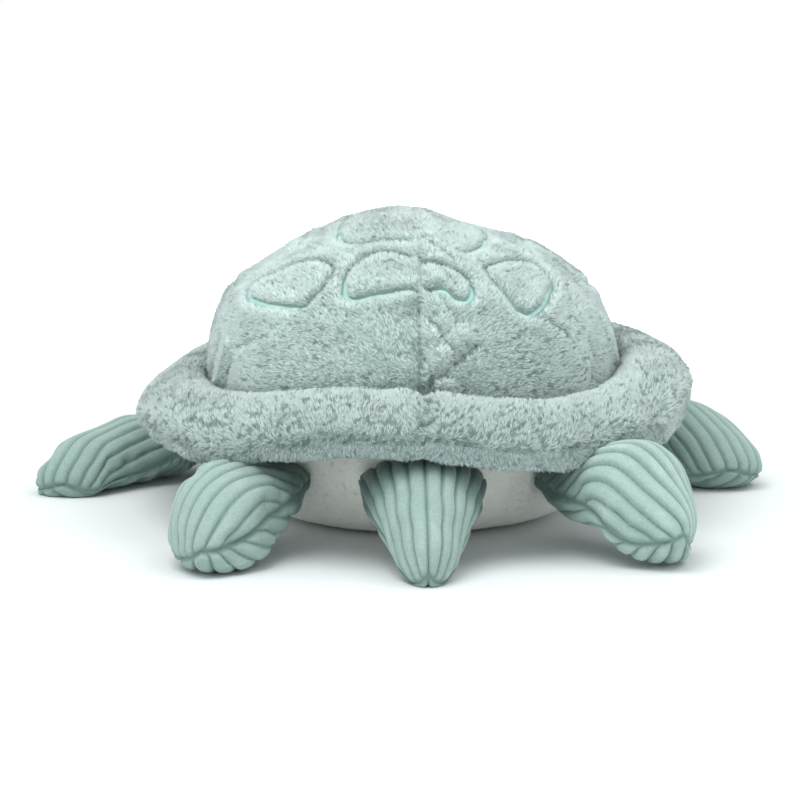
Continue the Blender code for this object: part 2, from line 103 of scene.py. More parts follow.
# How each limb was stuffed and fell, in metres and degrees. Each table of shares runs evenly from the root
# to the tip. roll turns the limb's end about its length, seam_turn slides both side seams round its section,
# the nap factor is painted light and shade, which makes the wales lighter above 1 and darker below 1 for how
# much light falls on the limb, wrinkles how much of the simulated wrinkles it shows, and wale_angles how
# the wales lie to its length on the top or right panel and on the other.
LIMB_DEFAULTS = dict(
    side=1,
    sweep=0.0,
    sweep_shares=(0.0, 1.0),
    seam_drop_shares=(0.0, 0.0),
    roll=0.0,
    seam_turn=0.0,
    nap_and_painted_light=1.0,
    wrinkles=1.0,
    wale_angles=(0.0, 0.0),
    upright_seam=False,
)
LIMBS = {
    "front_flipper_left": dict(
        FRONT_FLIPPER,
        side=-1,
        length=0.1246,
        half_width=0.0286,
        half_thickness=0.0127,
        sweep=-108.0,
        tip_round=0.0086,
        width_shares=(0.66, 0.86, 0.92, 0.87, 0.73, 0.60),
        thickness_shares=(0.74, 0.84, 0.98, 1.01, 0.89, 0.65),
        height_shares=(1.00, 0.92, 0.72, 0.66, 0.55, 0.29),
        sweep_shares=(0.00, 0.27, 0.52, 0.75, 0.84, 1.00),
        nap_and_painted_light=0.60,
        wale_angles=(2.0, 50.0),
    ),
    "front_flipper_right": dict(
        FRONT_FLIPPER,
        length=0.1180,
        half_width=0.0277,
        half_thickness=0.0144,
        sweep=-114.4,
        tip_round=0.0170,
        roll=-2.6,
        width_shares=(0.66, 0.86, 0.98, 0.96, 0.86, 0.81),
        thickness_shares=(0.74, 0.84, 0.98, 1.09, 0.93, 0.67),
        height_shares=(1.00, 0.92, 0.93, 0.88, 0.64, 0.48),
        sweep_shares=(0.00, 0.20, 0.42, 0.79, 0.90, 1.00),
        nap_and_painted_light=0.52,
        wale_angles=(2.0, 40.0),
    ),
    "rear_flipper_left": dict(
        REAR_FLIPPER,
        side=-1,
        length=0.0808,
        half_width=0.0255,
        half_thickness=0.0169,
        sweep=-31.0,
        tip_round=0.0255,
        roll=6.2,
        seam_turn=-22.0,
        width_shares=(0.72, 0.88, 0.92, 0.89, 0.75, 0.55),
        thickness_shares=(0.60, 0.74, 0.92, 0.94, 0.92, 0.84),
        height_shares=(1.00, 0.94, 0.84, 0.73, 0.56, 0.40),
        sweep_shares=(0.00, 0.37, 0.71, 0.95, 1.00, 1.00),
    ),
    "rear_flipper_right": dict(
        REAR_FLIPPER,
        length=0.0829,
        half_width=0.0220,
        half_thickness=0.0196,
        sweep=-18.1,
        tip_round=0.0300,
        roll=-7.3,
        width_shares=(0.72, 0.88, 1.01, 1.04, 0.87, 0.56),
        thickness_shares=(0.60, 0.74, 0.92, 1.03, 0.96, 0.83),
        height_shares=(1.00, 0.94, 1.00, 0.99, 0.65, 0.57),
        sweep_shares=(0.00, 0.33, 0.69, 0.93, 1.00, 1.00),
        nap_and_painted_light=1.30,
        wrinkles=0.6,
    ),
    "tail": dict(
        root_turn=-90.0,
        root_half_thickness=0.0110,
        root_height=0.0300,
        length=0.0657,
        half_width=0.0256,
        half_thickness=0.0150,
        tip_round=0.0082,
        width_shares=(1.04, 1.00, 0.84, 0.64, 0.45, 0.22),
        thickness_shares=(0.86, 0.90, 0.98, 0.92, 0.78, 0.60),
        height_shares=(1.00, 1.00, 0.89, 0.67, 0.43, 0.20),
        seam_drop_shares=(0.00, 0.20, 0.45, 0.60, 0.75, 0.85),
        wrinkles=0.35,
    ),
    "head": dict(
        root_turn=90.0,
        root_half_thickness=0.0175,
        root_height=0.0240,
        length=0.128,
        half_width=0.0310,
        half_thickness=0.0345,
        tip_round=0.022,
        width_shares=(0.56, 0.57, 0.71, 0.98, 1.00, 0.78),
        thickness_shares=(0.62, 0.64, 0.78, 1.00, 0.98, 0.74),
        height_shares=(1.00, 1.00, 1.12, 1.58, 1.72, 1.52),
        upright_seam=True,
    ),
}
ROLL_SHARES = (0.00, 0.30, 0.70, 1.00, 1.00, 1.00)
SECTION_POWER = 0.85
ROOT_CLEARANCE = 0.0003
ROOT_SPAN = 0.8
ROOT_STEPS = 56
PATH_STEPS = 200
SECTION_STEPS = 399

# Scute outlines in plan, as shares of the dome's half width and half length: whether the line is closed,
# then the left one, and the right one where it isn't the left one's mirror image
SCUTES = {
    "rear": (
        True,
        (
            (-0.785, -0.335), (-0.775, -0.262), (-0.690, -0.300), (-0.588, -0.346), (-0.509, -0.393),
            (-0.440, -0.454), (-0.400, -0.519), (-0.410, -0.575), (-0.473, -0.634), (-0.533, -0.651),
            (-0.600, -0.606), (-0.690, -0.510), (-0.750, -0.415),
        ),
        (
            (0.308, -0.577), (0.338, -0.538), (0.396, -0.476), (0.453, -0.425), (0.539, -0.368),
            (0.600, -0.385), (0.640, -0.440), (0.612, -0.534), (0.578, -0.619), (0.517, -0.700),
            (0.478, -0.722), (0.437, -0.725), (0.390, -0.690), (0.340, -0.640),
        ),
    ),
    "middle_rear": (
        False,
        (
            (-0.030, -0.590), (-0.134, -0.540), (-0.228, -0.537), (-0.285, -0.562), (-0.335, -0.600),
            (-0.348, -0.660), (-0.338, -0.718), (-0.298, -0.744), (-0.224, -0.752), (-0.141, -0.760),
            (-0.030, -0.760),
        ),
        (
            (0.030, -0.640), (0.110, -0.648), (0.189, -0.661), (0.235, -0.695), (0.240, -0.748),
            (0.205, -0.783), (0.150, -0.788), (0.100, -0.775), (0.030, -0.768),
        ),
    ),
    "middle_top": (
        False,
        (
            (-0.030, -0.470), (-0.132, -0.455), (-0.240, -0.440), (-0.330, -0.380), (-0.365, -0.270),
            (-0.350, -0.120), (-0.290, 0.020), (-0.190, 0.100), (-0.030, 0.120),
        ),
        (
            (0.030, -0.460), (0.095, -0.482), (0.150, -0.505), (0.225, -0.480), (0.290, -0.400),
            (0.345, -0.280), (0.345, -0.120), (0.290, 0.020), (0.190, 0.100), (0.030, 0.120),
        ),
    ),
    "middle_front": (
        False,
        (
            (-0.030, 0.230), (-0.170, 0.235), (-0.275, 0.300), (-0.310, 0.420), (-0.290, 0.550),
            (-0.200, 0.640), (-0.030, 0.660),
        ),
    ),
    "side": (
        True,
        (
            (-0.555, -0.130), (-0.640, -0.190), (-0.740, -0.195), (-0.820, -0.150), (-0.845, 0.010),
            (-0.825, 0.170), (-0.740, 0.225), (-0.640, 0.200), (-0.555, 0.120), (-0.535, 0.000),
        ),
    ),
    "front": (
        True,
        (
            (-0.445, 0.385), (-0.560, 0.340), (-0.690, 0.385), (-0.715, 0.470), (-0.620, 0.590),
            (-0.500, 0.690), (-0.400, 0.700), (-0.350, 0.600), (-0.370, 0.480),
        ),
    ),
}

# Folds of the stuffed dome in the same shares: (line, height, half width), a crease below zero
FOLDS = (
    (((0.245, -0.905), (0.181, -0.938), (0.122, -0.964), (0.082, -0.980), (0.046, -0.990)), -0.0028, 0.0017),
    (((0.185, -0.900), (0.120, -0.940), (0.075, -0.965), (0.035, -0.986)), 0.0024, 0.0045),
    (((0.551, -0.688), (0.608, -0.665), (0.681, -0.632)), -0.0018, 0.0015),
    (((-0.837, -0.476), (-0.798, -0.521), (-0.764, -0.559)), -0.0016, 0.0015),
    (((-0.885, -0.385), (-0.912, -0.371), (-0.933, -0.346), (-0.956, -0.290)), 0.0024, 0.0020),
    (((-0.926, -0.262), (-0.957, -0.232), (-0.980, -0.180)), -0.0018, 0.0024),
    (((-0.872, -0.445), (-0.905, -0.420)), -0.0018, 0.0024),
    (((0.895, -0.262), (0.920, -0.298), (0.939, -0.300), (0.952, -0.281)), 0.0022, 0.0026),
    (((0.805, -0.519), (0.830, -0.523), (0.812, -0.575)), -0.0014, 0.0030),
)
# The puffy ridge beside the middle seam, and where creases cross it, as shares of the dome's half length
RIDGE_CREASES = (-0.42, -0.53, -0.66, -0.79, -0.90, -1.00)
RIDGE_HEIGHT = 0.0062
RIDGE_PLACE = 0.0070
RIDGE_HALF_WIDTH = 0.0062
RIDGE_SLANT = 0.9
RIDGE_DIP = 0.35
RIDGE_PUFF_POWER = 0.35
RIDGE_PUFF = 0.85
RIDGE_WANDER = (0.0012, 0.012)
RIDGE_WRINKLES = (0.3, 0.0042)

# How far the shell's seam and the brim's outer edge sway up, in even steps from the tail to the head
SEAM_SWAY = {
    "left": (
        0.0020, 0.0026, 0.0008, -0.0018, -0.0050, -0.0040, -0.0015, 0.0015, 0.0040, 0.0045, 0.0030, 0.0010, 0.0
    ),
    "right": (
        0.0020, -0.0002, -0.0032, -0.0033, -0.0005, 0.0025, 0.0060, 0.0085, 0.0085, 0.0065, 0.0035, 0.0015, 0.0
    ),
}
EDGE_SWAY = {
    "left": (
        0.0008, 0.0016, -0.0015, -0.0075, -0.0050, -0.0030, -0.0040, -0.0060, -0.0040, -0.0020, 0.0, 0.0, 0.0
    ),
    "right": (
        0.0008, -0.0048, -0.0064, -0.0045, -0.0020, 0.0050, 0.0095, 0.0110, 0.0100, 0.0075, 0.0045, 0.0020, 0.0
    ),
}
SWAY_FADE = 0.030
# Above the shell's seam, the dome's relief grows from nothing over this height
TUCK_HEIGHT = 0.006
# The middle seam: a groove, which on the dome deepens to the tail, between two lips
DOME_SEAM_HALF_WIDTH = 0.0014
DOME_SEAM_DEPTH = 0.0004
DOME_SEAM_TAIL_DEPTH = 0.0012
DOME_SEAM_LIP = 0.0007
DOME_SEAM_LIP_PLACE = 0.007
DOME_SEAM_LIP_HALF_WIDTH = 0.005
DOME_PUCKER_SIZE = 0.011
BRIM_SEAM_HALF_WIDTH = 0.0030
BRIM_SEAM_DEPTH = 0.0022
BRIM_SEAM_LIP = 0.0010
BRIM_SEAM_LIP_PLACE = 0.008
BRIM_SEAM_LIP_HALF_WIDTH = 0.006
# How much fuller the dome was stuffed, in even steps over its middle from the left seam to the right
DOME_FULLNESS = (
    0.0, 0.0024, 0.0034, -0.0006, -0.0004, 0.0008, 0.0002, -0.0042, -0.0026, 0.0002, 0.0016, 0.0006, 0.0
)
# Where along the dome it is fullest, and how far that reaches, as shares of its half length
FULLEST_PLACE = 0.1
FULLNESS_REACH = 0.85
# How far the brim's outer seam lies up round its edge, in degrees and even steps from the tail to the head
BORDER_TURNS = {
    "left": (4.0, 0.0, 0.0, 0.0, 0.0, 0.0, 0.0),
    "right": (11.0, 15.0, 17.0, 15.0, 10.0, 4.0, 0.0),
}
BORDER_LIP = 0.0013
BORDER_HALF_WIDTH = 0.0016
BORDER_FULL_TURN = 0.2
# How round the brim is, how much longer its cloth is than its width, and where its relief fades and puckers
BRIM_ROUNDNESS = 0.8
BRIM_CLOTH = 1.3
BRIM_FADE = 0.004
BRIM_PUCKER_REACH = 0.006
BRIM_BACKING_SHARE = 0.85
# How much of the sag the brim's underside leaves out, and how far it lies up, to make room for the limbs,
# over this stretch of its way out
LIMB_ROOM = 0.95
UNDER_LIFT = 0.0014
ROOM_STRETCH = (0.15, 0.60, 0.80)

# Fineness
FUR_BASE_STEP = 0.00095
CORD_STEP = 0.00065
BELLY_STEP = 0.0011
FILLING_STEP = 0.0045
STITCH_STEP = 0.00018
FOLD_STEP = 0.0015

# Lumps, creases, puckers and nap of each cloth, as (height, size)
DOME_LUMPS = (0.0010, 0.045)
DOME_SMALL_LUMPS = (0.0005, 0.018)
DOME_NAP = (0.00025, 0.0030)
BRIM_LUMPS = (0.0010, 0.024)
BRIM_PUCKERS = (0.0009, 0.011)
BRIM_NAP = (0.00030, 0.0034)
BRIM_WAVES = (0.0006, 0.020)
BELLY_LUMPS = (0.0012, 0.030)
BELLY_CREASES = (0.0010, 0.010)
BELLY_NAP = (0.00022, 0.0024)
BELLY_DIMPLES = (0.0022, 0.0030)
DIMPLE_START = 0.45
BELLY_TUCK = 0.006
BELLY_DEPTH = 0.0006
BELLY_WALL = 0.075
LOWEST_BELLY = 0.0002
LIMB_CREASES = (0.0016, 0.014)
LIMB_LUMPS = (0.0008, 0.026)
LIMB_PUCKERS = (0.0007, 0.0085)
FIBRE_LUMPS = (0.0007, 0.011)

# Fur: hairs on a backing that lies below the cloth's outside. Spreads are standard deviations, or the
# least and the most.
BACKING_DEPTH = 0.0016
# The backing's colour lies near the hairs' dark root colour, painted shade under the pile
BACKING_PILE = 0.09
SEAM_GAP = 0.00004
# The dome's pile ends this many degrees from its middle, and the map of each backing at this share
DOME_END = 89.7
UV_MARGIN = 0.002
BACKING_UV_END = 0.49
HAIRS_PER_SQUARE_METRE = 3.7e6
HAIR_LENGTH = 0.0021
HAIR_LENGTH_SPREAD = (0.82, 1.12)
HAIR_WIDTH = 0.00040
HAIR_WIDTH_SPREAD = (0.7, 1.3)
HAIR_LEAN = 1.0
HAIR_LEAN_SPREAD = 0.15
HAIR_LEAN_LIMITS = (0.2, 1.3)
HAIR_WANDER_SPREAD = 0.35
HAIR_TURN_SPREAD = 0.4
HAIR_SHADE_SPREAD = 0.07
HAIR_FOOT = 0.1
# How much shorter the darkest hairs are, and how far a hair's normals turn from the cloth's
DARK_HAIR_CUT = 0.25
HAIR_ROUNDNESS = 0.25
TIP_LEAN = 0.3
FOOT_PILE = 0.05
MOST_PILE = 1.1
COMB_TURN = 1.1
COMB_TURN_SIZE = 0.010
TUFT_HAIRS = 8
TUFT_PULL = 0.60
TUFT_TIP_SIZE = 0.4
# A share of the tufts is parted, so shorter, and darker as painted shade
PARTED_SHARE = 0.08
PARTED_REACH = 0.60
PARTED_DEPTH = 0.80
# Dark flecks where the pile opens, painted shade in its gaps: their size, the slanting ways along which
# they are measured, their darkness, and how many lie on the flat and the steep part of the brim, and high
# and low on the dome
FLECK_SIZE = 0.0009
FLECK_WAYS = ((0.28, 0.0, 0.16), (0.0, 0.45, 0.0), (-0.50, 0.0, 0.87))
FLECK_DEPTH = 0.84
FLECK_CONTRAST = 4
FLECK_START = 2.6
FLECK_GAIN = 2.2
BRIM_FLECKS = (0.28, 0.88)
DOME_FLECKS = (0.20, 0.62)
# How far from a sewn channel's middle the fur is bald, and how much further where the stitches show
BALD_WIDTH = 0.0007
BALD_SPREAD = 0.4
RIBBON_SHOW = 0.0014
# How far level stitches show, how much more the lower ones, and up to which share of the dome's half length
RIBBON_SHARE = 0.50
RIBBON_SLOPE = 1.2
RIBBON_END = -0.25
# How deep in a fold the fur is all dark with painted shade, over how many cells a fold is looked for,
# and the lightest crest, as painted light
FOLD_DEPTH = 0.0009
FOLD_CELLS = 8
CREST_SHADE = -0.2
# How far from the crown and from the middle seam the pile turns, and how far it turns down at the border
CROWN_REACH = 0.05
SEAM_PILE_REACH = 0.0060
BORDER_PILE_REACH = 0.0035
# The brim's pile against the dome's, in length and lean, on top and underneath
BRIM_PILES = {True: (1.1, 1.0), False: (0.85, 0.7)}
# Where the dome has most flecks, and how much painted light lightens it, a little all over and more to the
# left
FLECKED_HEIGHT = 0.065
FLECKED_REACH = 0.022
FLECKED_WIDTH = 0.08
DOME_PAINTED_LIGHT = (1.02, 0.08)
DOME_PAINTED_LIGHT_PLACE = 0.02
DOME_PAINTED_LIGHT_STRETCH = 0.05
# How much darker the brim is painted, painted shade all over and on its steep part besides
BRIM_PAINTED_SHADE = 0.07
STEEP_PAINTED_SHADE = 0.07

# Sewn channels of the scutes
CHANNEL_DEPTH = 0.0034
CHANNEL_HALF_WIDTH = 0.0016
CHANNEL_LIP = 0.0008
CHANNEL_LIP_PLACE = 0.0050
CHANNEL_LIP_HALF_WIDTH = 0.0028
CHANNEL_STRIDE = 6
# The channels are shallower beyond this share of the dome's half length
CHANNEL_FADE = (-0.36, 0.22)
FAR_CHANNEL_LOSS = 0.75
STITCH_HALF_WIDTH = 0.00135
STITCH_HEIGHT = 0.0010
STITCH_PITCH = 0.0007
STITCH_WAVE = 0.22
STITCH_END = 0.001
STITCH_COLUMNS = 8
# How far the stitches lie under the backing, and how far they rise where they show
STITCH_DEPTH = 0.0004
STITCH_RISE = 0.0017

# Stuffed cloth: a coarse copy of each limb is blown up as cloth, and its wrinkles go on the fine panels
CLOTH_STEP = 0.0050
CLOTH_FRAMES = 20
CLOTH_QUALITY = 6
CLOTH_MASS = 0.12
CLOTH_STIFFNESS = 12.0
CLOTH_BENDING = 0.1
CLOTH_PRESSURE = 4.0
CLOTH_SPREAD = 10
CLOTH_MOTION = 0.0020
CLOTH_TIP_FADE = 0.010
SEAM_SHRINK = 0.12
EDGE_CELLS = 8

# Corduroy
WALE_PITCH = 0.0070
WALE_HEIGHT = 0.0017
WALE_POWER = 3.2
CORD_DEPTH = 0.0012
SEAM_PINCH = 0.0030
SEAM_ALLOWANCE = 0.0025
SEAM_PUCKER_REACH = 0.007
ROOT_CREASE_REACH = 0.022
LOWEST_CORD = 0.0003
TIP_CLOSE = 0.008
# How far from its root a limb is darkened by a painted shadow of the brim, and how dark
ROOT_SHADE = (0.025, 0.043)
ROOT_DEPTH = 0.80
# How far under the cloth each filling ends, and how far the shell's fillings go, in degrees and metres
LIMB_FILLING_INSET = 0.0056
BODY_FILLING_INSET = 0.0075
BRIM_FILLING_INSET = 0.0055
BODY_FILLING_TOP = 86.0
BODY_FILLING_RISE = 0.14
BRIM_FILLING_END = 88.5
BRIM_FILLING_LENGTH = 0.36
BRIM_FILLING_COLUMNS = 16

# Studio: a floor that fades to white, a white surround, and lamps by (name, place, size across, power)
FLOOR_SIZE = 8.0
FLOOR_LOW = (0.715, 0.757, 0.772)
FLOOR_HIGH = (0.735, 0.775, 0.79)
FLOOR_FADE = (0.30, 0.75)
WORLD_LEVEL = 0.88
LAMP_AIM = (0.0, 0.0, 0.05)
LAMPS = (
    ("key_softbox", (-0.48, -0.42, 1.62), 1.4, 16.5),
    ("side_softbox", (0.80, -0.05, 1.30), 1.0, 5.0),
)

# Camera, found from the photograph
CAMERA_PLACE = (-0.0379, -1.0858, 0.2221)
CAMERA_AIM = (-0.0061, -0.0003, 0.0471)
CAMERA_LENS = 108.9
CAMERA_SENSOR = 36.0

# Colours
# The fur's root colour is dark for painted shade deep in the pile
FUR_ROOT = (0.165, 0.255, 0.230)
FUR_TIP = (0.665, 0.808, 0.785)
FUR_BRUSHED = (0.730, 0.868, 0.846)
FUR_SHEEN = (0.86, 0.96, 0.94)
CORD_GROOVE = (0.190, 0.286, 0.262)
CORD_RIDGE = (0.308, 0.430, 0.395)
CORD_WORN = (0.392, 0.512, 0.480)
CORD_SHEEN = (0.80, 0.95, 0.92)
BELLY_LOW = (0.930, 0.950, 0.870)
BELLY_HIGH = (0.985, 0.992, 0.925)
SATIN_LOW = (0.430, 0.715, 0.655)
SATIN_HIGH = (0.530, 0.800, 0.745)
FIBRE_LOW = (0.740, 0.740, 0.720)
FIBRE_HIGH = (0.880, 0.880, 0.860)
EYE_LOW = (0.010, 0.010, 0.012)
EYE_HIGH = (0.018, 0.017, 0.016)
WASHER_LOW = (0.76, 0.76, 0.73)
WASHER_HIGH = (0.82, 0.82, 0.80)
WHITE = (1.0, 1.0, 1.0)


# Numbers over many points at once


def noise(points, size, seed):
    """Smooth noise from -1 to 1 at the points, with lumps of about the given size."""
    shifted = np.asarray(points) / size + np.array((17.3, 5.9, 11.1)) * (seed + 1)
    cell = np.floor(shifted).astype(np.int64)
    t = shifted - cell
    t = t * t * (3 - 2 * t)
    total = 0.0
    for corner in itertools.product((0, 1), repeat=3):
        c = cell + np.array(corner)
        mixed = (c[..., 0] * 73856093) ^ (c[..., 1] * 19349663) ^ (c[..., 2] * 83492791) ^ (seed * 7919)
        mixed = (mixed ^ (mixed >> 13)) * 1274126177
        mixed = (mixed ^ (mixed >> 16)) & 0xFFFF
        weight = np.prod(np.where(np.array(corner) == 1, t, 1 - t), axis=-1)
        total = total + (mixed / 32767.5 - 1) * weight
    return total


def lumps(points, kind, seed):
    height, size = kind
    return height * noise(points, size, seed)


def smooth_share(shares, along):
    """The values of an even table at along, 0 to 1, on a smooth curve through its entries."""
    table = np.array(shares)
    last = len(table) - 1
    along = np.clip(along, 0.0, 1.0)
    k = np.minimum((along * last).astype(int), last - 1)
    t = along * last - k
    before, here = table[np.maximum(k - 1, 0)], table[k]
    there, after = table[k + 1], table[np.minimum(k + 2, last)]
    slope_here, slope_there = (there - before) / 2, (after - here) / 2
    return (
        here * (2 * t**3 - 3 * t**2 + 1)
        + slope_here * (t**3 - 2 * t**2 + t)
        + there * (3 * t**2 - 2 * t**3)
        + slope_there * (t**3 - t**2)
    )


def between(ends, share):
    return ends[0] + (ends[1] - ends[0]) * share


def hump(distance, width):
    return np.exp(-((distance / width) ** 2))


def unit(vectors):
    return vectors / np.maximum(np.linalg.norm(vectors, axis=-1, keepdims=True), 1e-12)


def grid_normals(points, away):
    """(unit normals of a grid of points, whether its own winding points away)."""
    normals = unit(np.cross(np.gradient(points, axis=0), np.gradient(points, axis=1)))
    outward = np.sum(normals * away, axis=2).mean() > 0
    return (normals if outward else -normals), outward


def eased(share):
    """0 to 1, cut off at both ends and smooth there."""
    share = np.clip(share, 0, 1)
    return share * share * (3 - 2 * share)


def blurred(field, rounds):
    """A field of vectors over a grid, averaged with its neighbours so many times."""
    for axis in (0, 1) * rounds:
        pads = [(0, 0)] * 3
        pads[axis] = (1, 1)
        wide = np.pad(field, pads, mode="edge")
        before, after = (wide.take(range(k, k + field.shape[axis]), axis=axis) for k in (0, 2))
        field = (before + 2 * field + after) / 4
    return field


def arc_along(points, axis=0):
    """Distance along a line, or along each line of a grid, from its first point."""
    steps = np.linalg.norm(np.diff(points, axis=axis), axis=-1)
    pad = [(0, 0)] * steps.ndim
    pad[axis] = (1, 0)
    return np.pad(np.cumsum(steps, axis=axis), pad)


def nearest_distance(points, centres):
    """(distance, index) of the nearest centre for every point."""
    tree = kdtree.KDTree(len(centres))
    for i, centre in enumerate(centres):
        tree.insert(centre, i)
    tree.balance()
    found = [tree.find(point)[1:] for point in points.reshape(-1, 3)]
    index, distance = np.array([f[0] for f in found]), np.array([f[1] for f in found])
    return distance.reshape(points.shape[:-1]), index.reshape(points.shape[:-1])


# Meshes


def grid_quads(rows, columns, outward, closed=False):
    index = np.arange(rows * columns).reshape(rows, columns)
    if closed:
        index = np.concatenate((index, index[:, :1]), axis=1)
    corners = (index[:-1, :-1], index[1:, :-1], index[1:, 1:], index[:-1, 1:])
    quads = np.stack([c.ravel() for c in corners], axis=1)
    return quads if outward else quads[:, ::-1]


def tube_faces(rows, columns, outward):
    """Quads round a tube of points, and a face over each end."""
    faces = grid_quads(rows, columns, outward, closed=True).tolist()
    first, last = list(range(columns)), list(range((rows - 1) * columns, rows * columns))
    return faces + [first if outward else first[::-1], last[::-1] if outward else last]


def make_piece(name, points, faces, material, uv=None, marks=None, normals=None):
    """A smooth mesh object. marks are named numbers for each vertex, which the material reads."""
    mesh = bpy.data.meshes.new(name)
    mesh.from_pydata(points.reshape(-1, 3).tolist(), [], faces)
    mesh.shade_smooth()
    if uv is not None:
        corner = np.empty(len(mesh.loops), dtype=np.int32)
        mesh.loops.foreach_get("vertex_index", corner)
        mesh.uv_layers.new(name="OFBake").data.foreach_set("uv", uv[corner].astype(np.float32).ravel())
    for mark, values in (marks or {}).items():
        mesh.attributes.new(mark, "FLOAT", "POINT").data.foreach_set("value", values.astype(np.float32))
    if normals is not None:
        mesh.normals_split_custom_set_from_vertices(normals.tolist())
    piece = bpy.data.objects.new(name, mesh)
    piece.data.materials.append(MATERIALS[material])
    bpy.context.scene.collection.objects.link(piece)
    return piece


def make_sheet(name, points, outward, material, closed=False, marks=None):
    """A piece that is one grid of points."""
    rows, columns = points.shape[:2]
    quads = grid_quads(rows, columns, outward, closed).tolist()
    return make_piece(name, points, quads, material, grid_uv(rows, columns), marks)


def dress(piece, body, node):
    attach(piece, body)
    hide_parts(node)


# Materials


class Nodes:
    """Short ways to build one node tree."""

    def __init__(self, tree):
        self.tree = tree

    def feed(self, socket, value):
        """Links an output to the socket, or sets the socket to a value."""
        if isinstance(value, bpy.types.NodeSocket):
            self.tree.links.new(value, socket)
        else:
            socket.default_value = (*value, 1.0) if isinstance(value, tuple) else value

    def add(self, kind, result, inputs, **settings):
        """The output of a new node that has these inputs and settings."""
        node = self.tree.nodes.new("ShaderNode" + kind)
        for key, value in settings.items():
            setattr(node, key, value)
        for key, value in inputs.items():
            self.feed(node.inputs[key], value)
        return node.outputs[result]

    def place(self):
        return self.add("TexCoord", "Object", {})

    def noise(self, size, detail):
        return self.add("TexNoise", "Fac", {"Vector": self.place(), "Scale": 1 / size, "Detail": detail})

    def mark(self, name):
        return self.add("Attribute", "Fac", {}, attribute_name=name)

    def spread(self, value, low, high, to_low=0.0, to_high=1.0):
        limits = {"From Min": low, "From Max": high, "To Min": to_low, "To Max": to_high}
        return self.add("MapRange", "Result", {"Value": value, **limits})

    def mix(self, factor, first, second):
        return self.add("Mix", "Result", {"Factor": factor, "A": first, "B": second}, data_type="RGBA")

    def scale(self, colour, value):
        """The colour times a grey value."""
        return self.add("VectorMath", "Vector", {0: colour, "Scale": value}, operation="SCALE")

    def combine(self, operation, first, second):
        return self.add("Math", "Value", {0: first, 1: second}, operation=operation)

    def mottled(self, size, detail, low, high, first, second):
        """Two colours in patches."""
        return self.mix(self.spread(self.noise(size, detail), low, high), first, second)

    def speckled(self, colour, size, dark, light):
        """The colour, darker and lighter in fine specks."""
        return self.scale(colour, self.spread(self.noise(size, 3.0), 0.25, 0.75, dark, light))

    def grain(self, size, detail, height, strength):
        fine = {"Distance": height, "Strength": strength, "Height": self.noise(size, detail)}
        return self.add("Bump", "Normal", fine)

    def seen_as_backdrop(self):
        """1 for a ray that sees the background: from the camera, off gloss or through glass."""
        rays = self.tree.nodes.new("ShaderNodeLightPath").outputs
        seen = self.combine("MAXIMUM", rays["Is Camera Ray"], rays["Is Glossy Ray"])
        return self.combine("MAXIMUM", seen, rays["Is Transmission Ray"])


def made_material(name, build):
    """A material whose shader has the inputs that build returns for its node tree."""
    material = bpy.data.materials.new(name)
    material.use_nodes = True
    n = Nodes(material.node_tree)
    for key, value in build(n).items():
        n.feed(n.tree.nodes["Principled BSDF"].inputs[key.replace("_", " ")], value)
    return material


def mint_fur(n):
    pile = n.mark("pile")
    # Hairs are painted dark at their roots and light at their tips, painted shade deep in the pile
    colour = n.mix(n.spread(pile, 0.0, 0.30), FUR_ROOT, FUR_TIP)
    patches = n.spread(n.noise(0.020, 3.0), 0.46, 0.66, 0.0, 0.75)
    colour = n.mix(patches, colour, n.mix(n.spread(pile, 0.0, 0.45), FUR_ROOT, FUR_BRUSHED))
    return dict(
        # The colour is scaled last by the painted light and shade of each point
        Base_Color=n.speckled(n.scale(colour, n.mark("painted_light_and_shade")), 0.0022, 0.86, 1.12),
        Normal=n.grain(0.0009, 2.0, 0.0004, 0.6),
        Roughness=0.92,
        Sheen_Weight=0.30,
        Sheen_Roughness=0.45,
        Sheen_Tint=FUR_SHEEN,
        Specular_IOR_Level=0.15,
    )


def mint_cord(n):
    ridge = n.mark("ridge")
    colour = n.mix(n.spread(ridge, 0.05, 0.75), CORD_GROOVE, CORD_RIDGE)
    # Negative marks darken the colour further, the painted shadow of the brim at a limb's root
    colour = n.scale(colour, n.spread(ridge, -1.0, 0.0, 0.40, 1.0))
    worn = n.spread(n.noise(0.012, 4.0), 0.48, 0.70, 0.0, 0.7)
    worn = n.combine("MULTIPLY", worn, n.spread(ridge, -0.5, 0.2))
    colour = n.mix(worn, colour, n.mix(ridge, CORD_GROOVE, CORD_WORN))
    colour = n.speckled(colour, 0.0011, 0.90, 1.09)
    return dict(
        # Marks above 1 make the colour lighter, painted light on a limb that gets more light
        Base_Color=n.scale(colour, n.spread(ridge, 1.0, 1.3, 1.0, 1.18)),
        Normal=n.grain(0.0006, 3.0, 0.0004, 0.7),
        Roughness=0.85,
        Sheen_Weight=0.45,
        Sheen_Roughness=0.35,
        Sheen_Tint=CORD_SHEEN,
        Specular_IOR_Level=0.2,
    )


def cream_plush(n):
    colour = n.speckled(n.mottled(0.010, 4.0, 0.35, 0.65, BELLY_LOW, BELLY_HIGH), 0.0012, 0.92, 1.06)
    return dict(
        Base_Color=n.scale(colour, n.spread(n.noise(0.0024, 1.0), 0.63, 0.70, 1.0, 0.84)),
        Normal=n.grain(0.0008, 3.0, 0.0005, 0.7),
        Roughness=0.95,
        Sheen_Weight=0.25,
        Sheen_Roughness=0.5,
        Specular_IOR_Level=0.15,
    )


def mint_satin(n):
    return dict(
        Base_Color=n.mottled(0.0015, 2.0, 0.3, 0.7, SATIN_LOW, SATIN_HIGH),
        Normal=n.grain(0.0004, 2.0, 0.0002, 0.5),
        Roughness=0.42,
        Sheen_Weight=0.2,
        Specular_IOR_Level=0.5,
    )


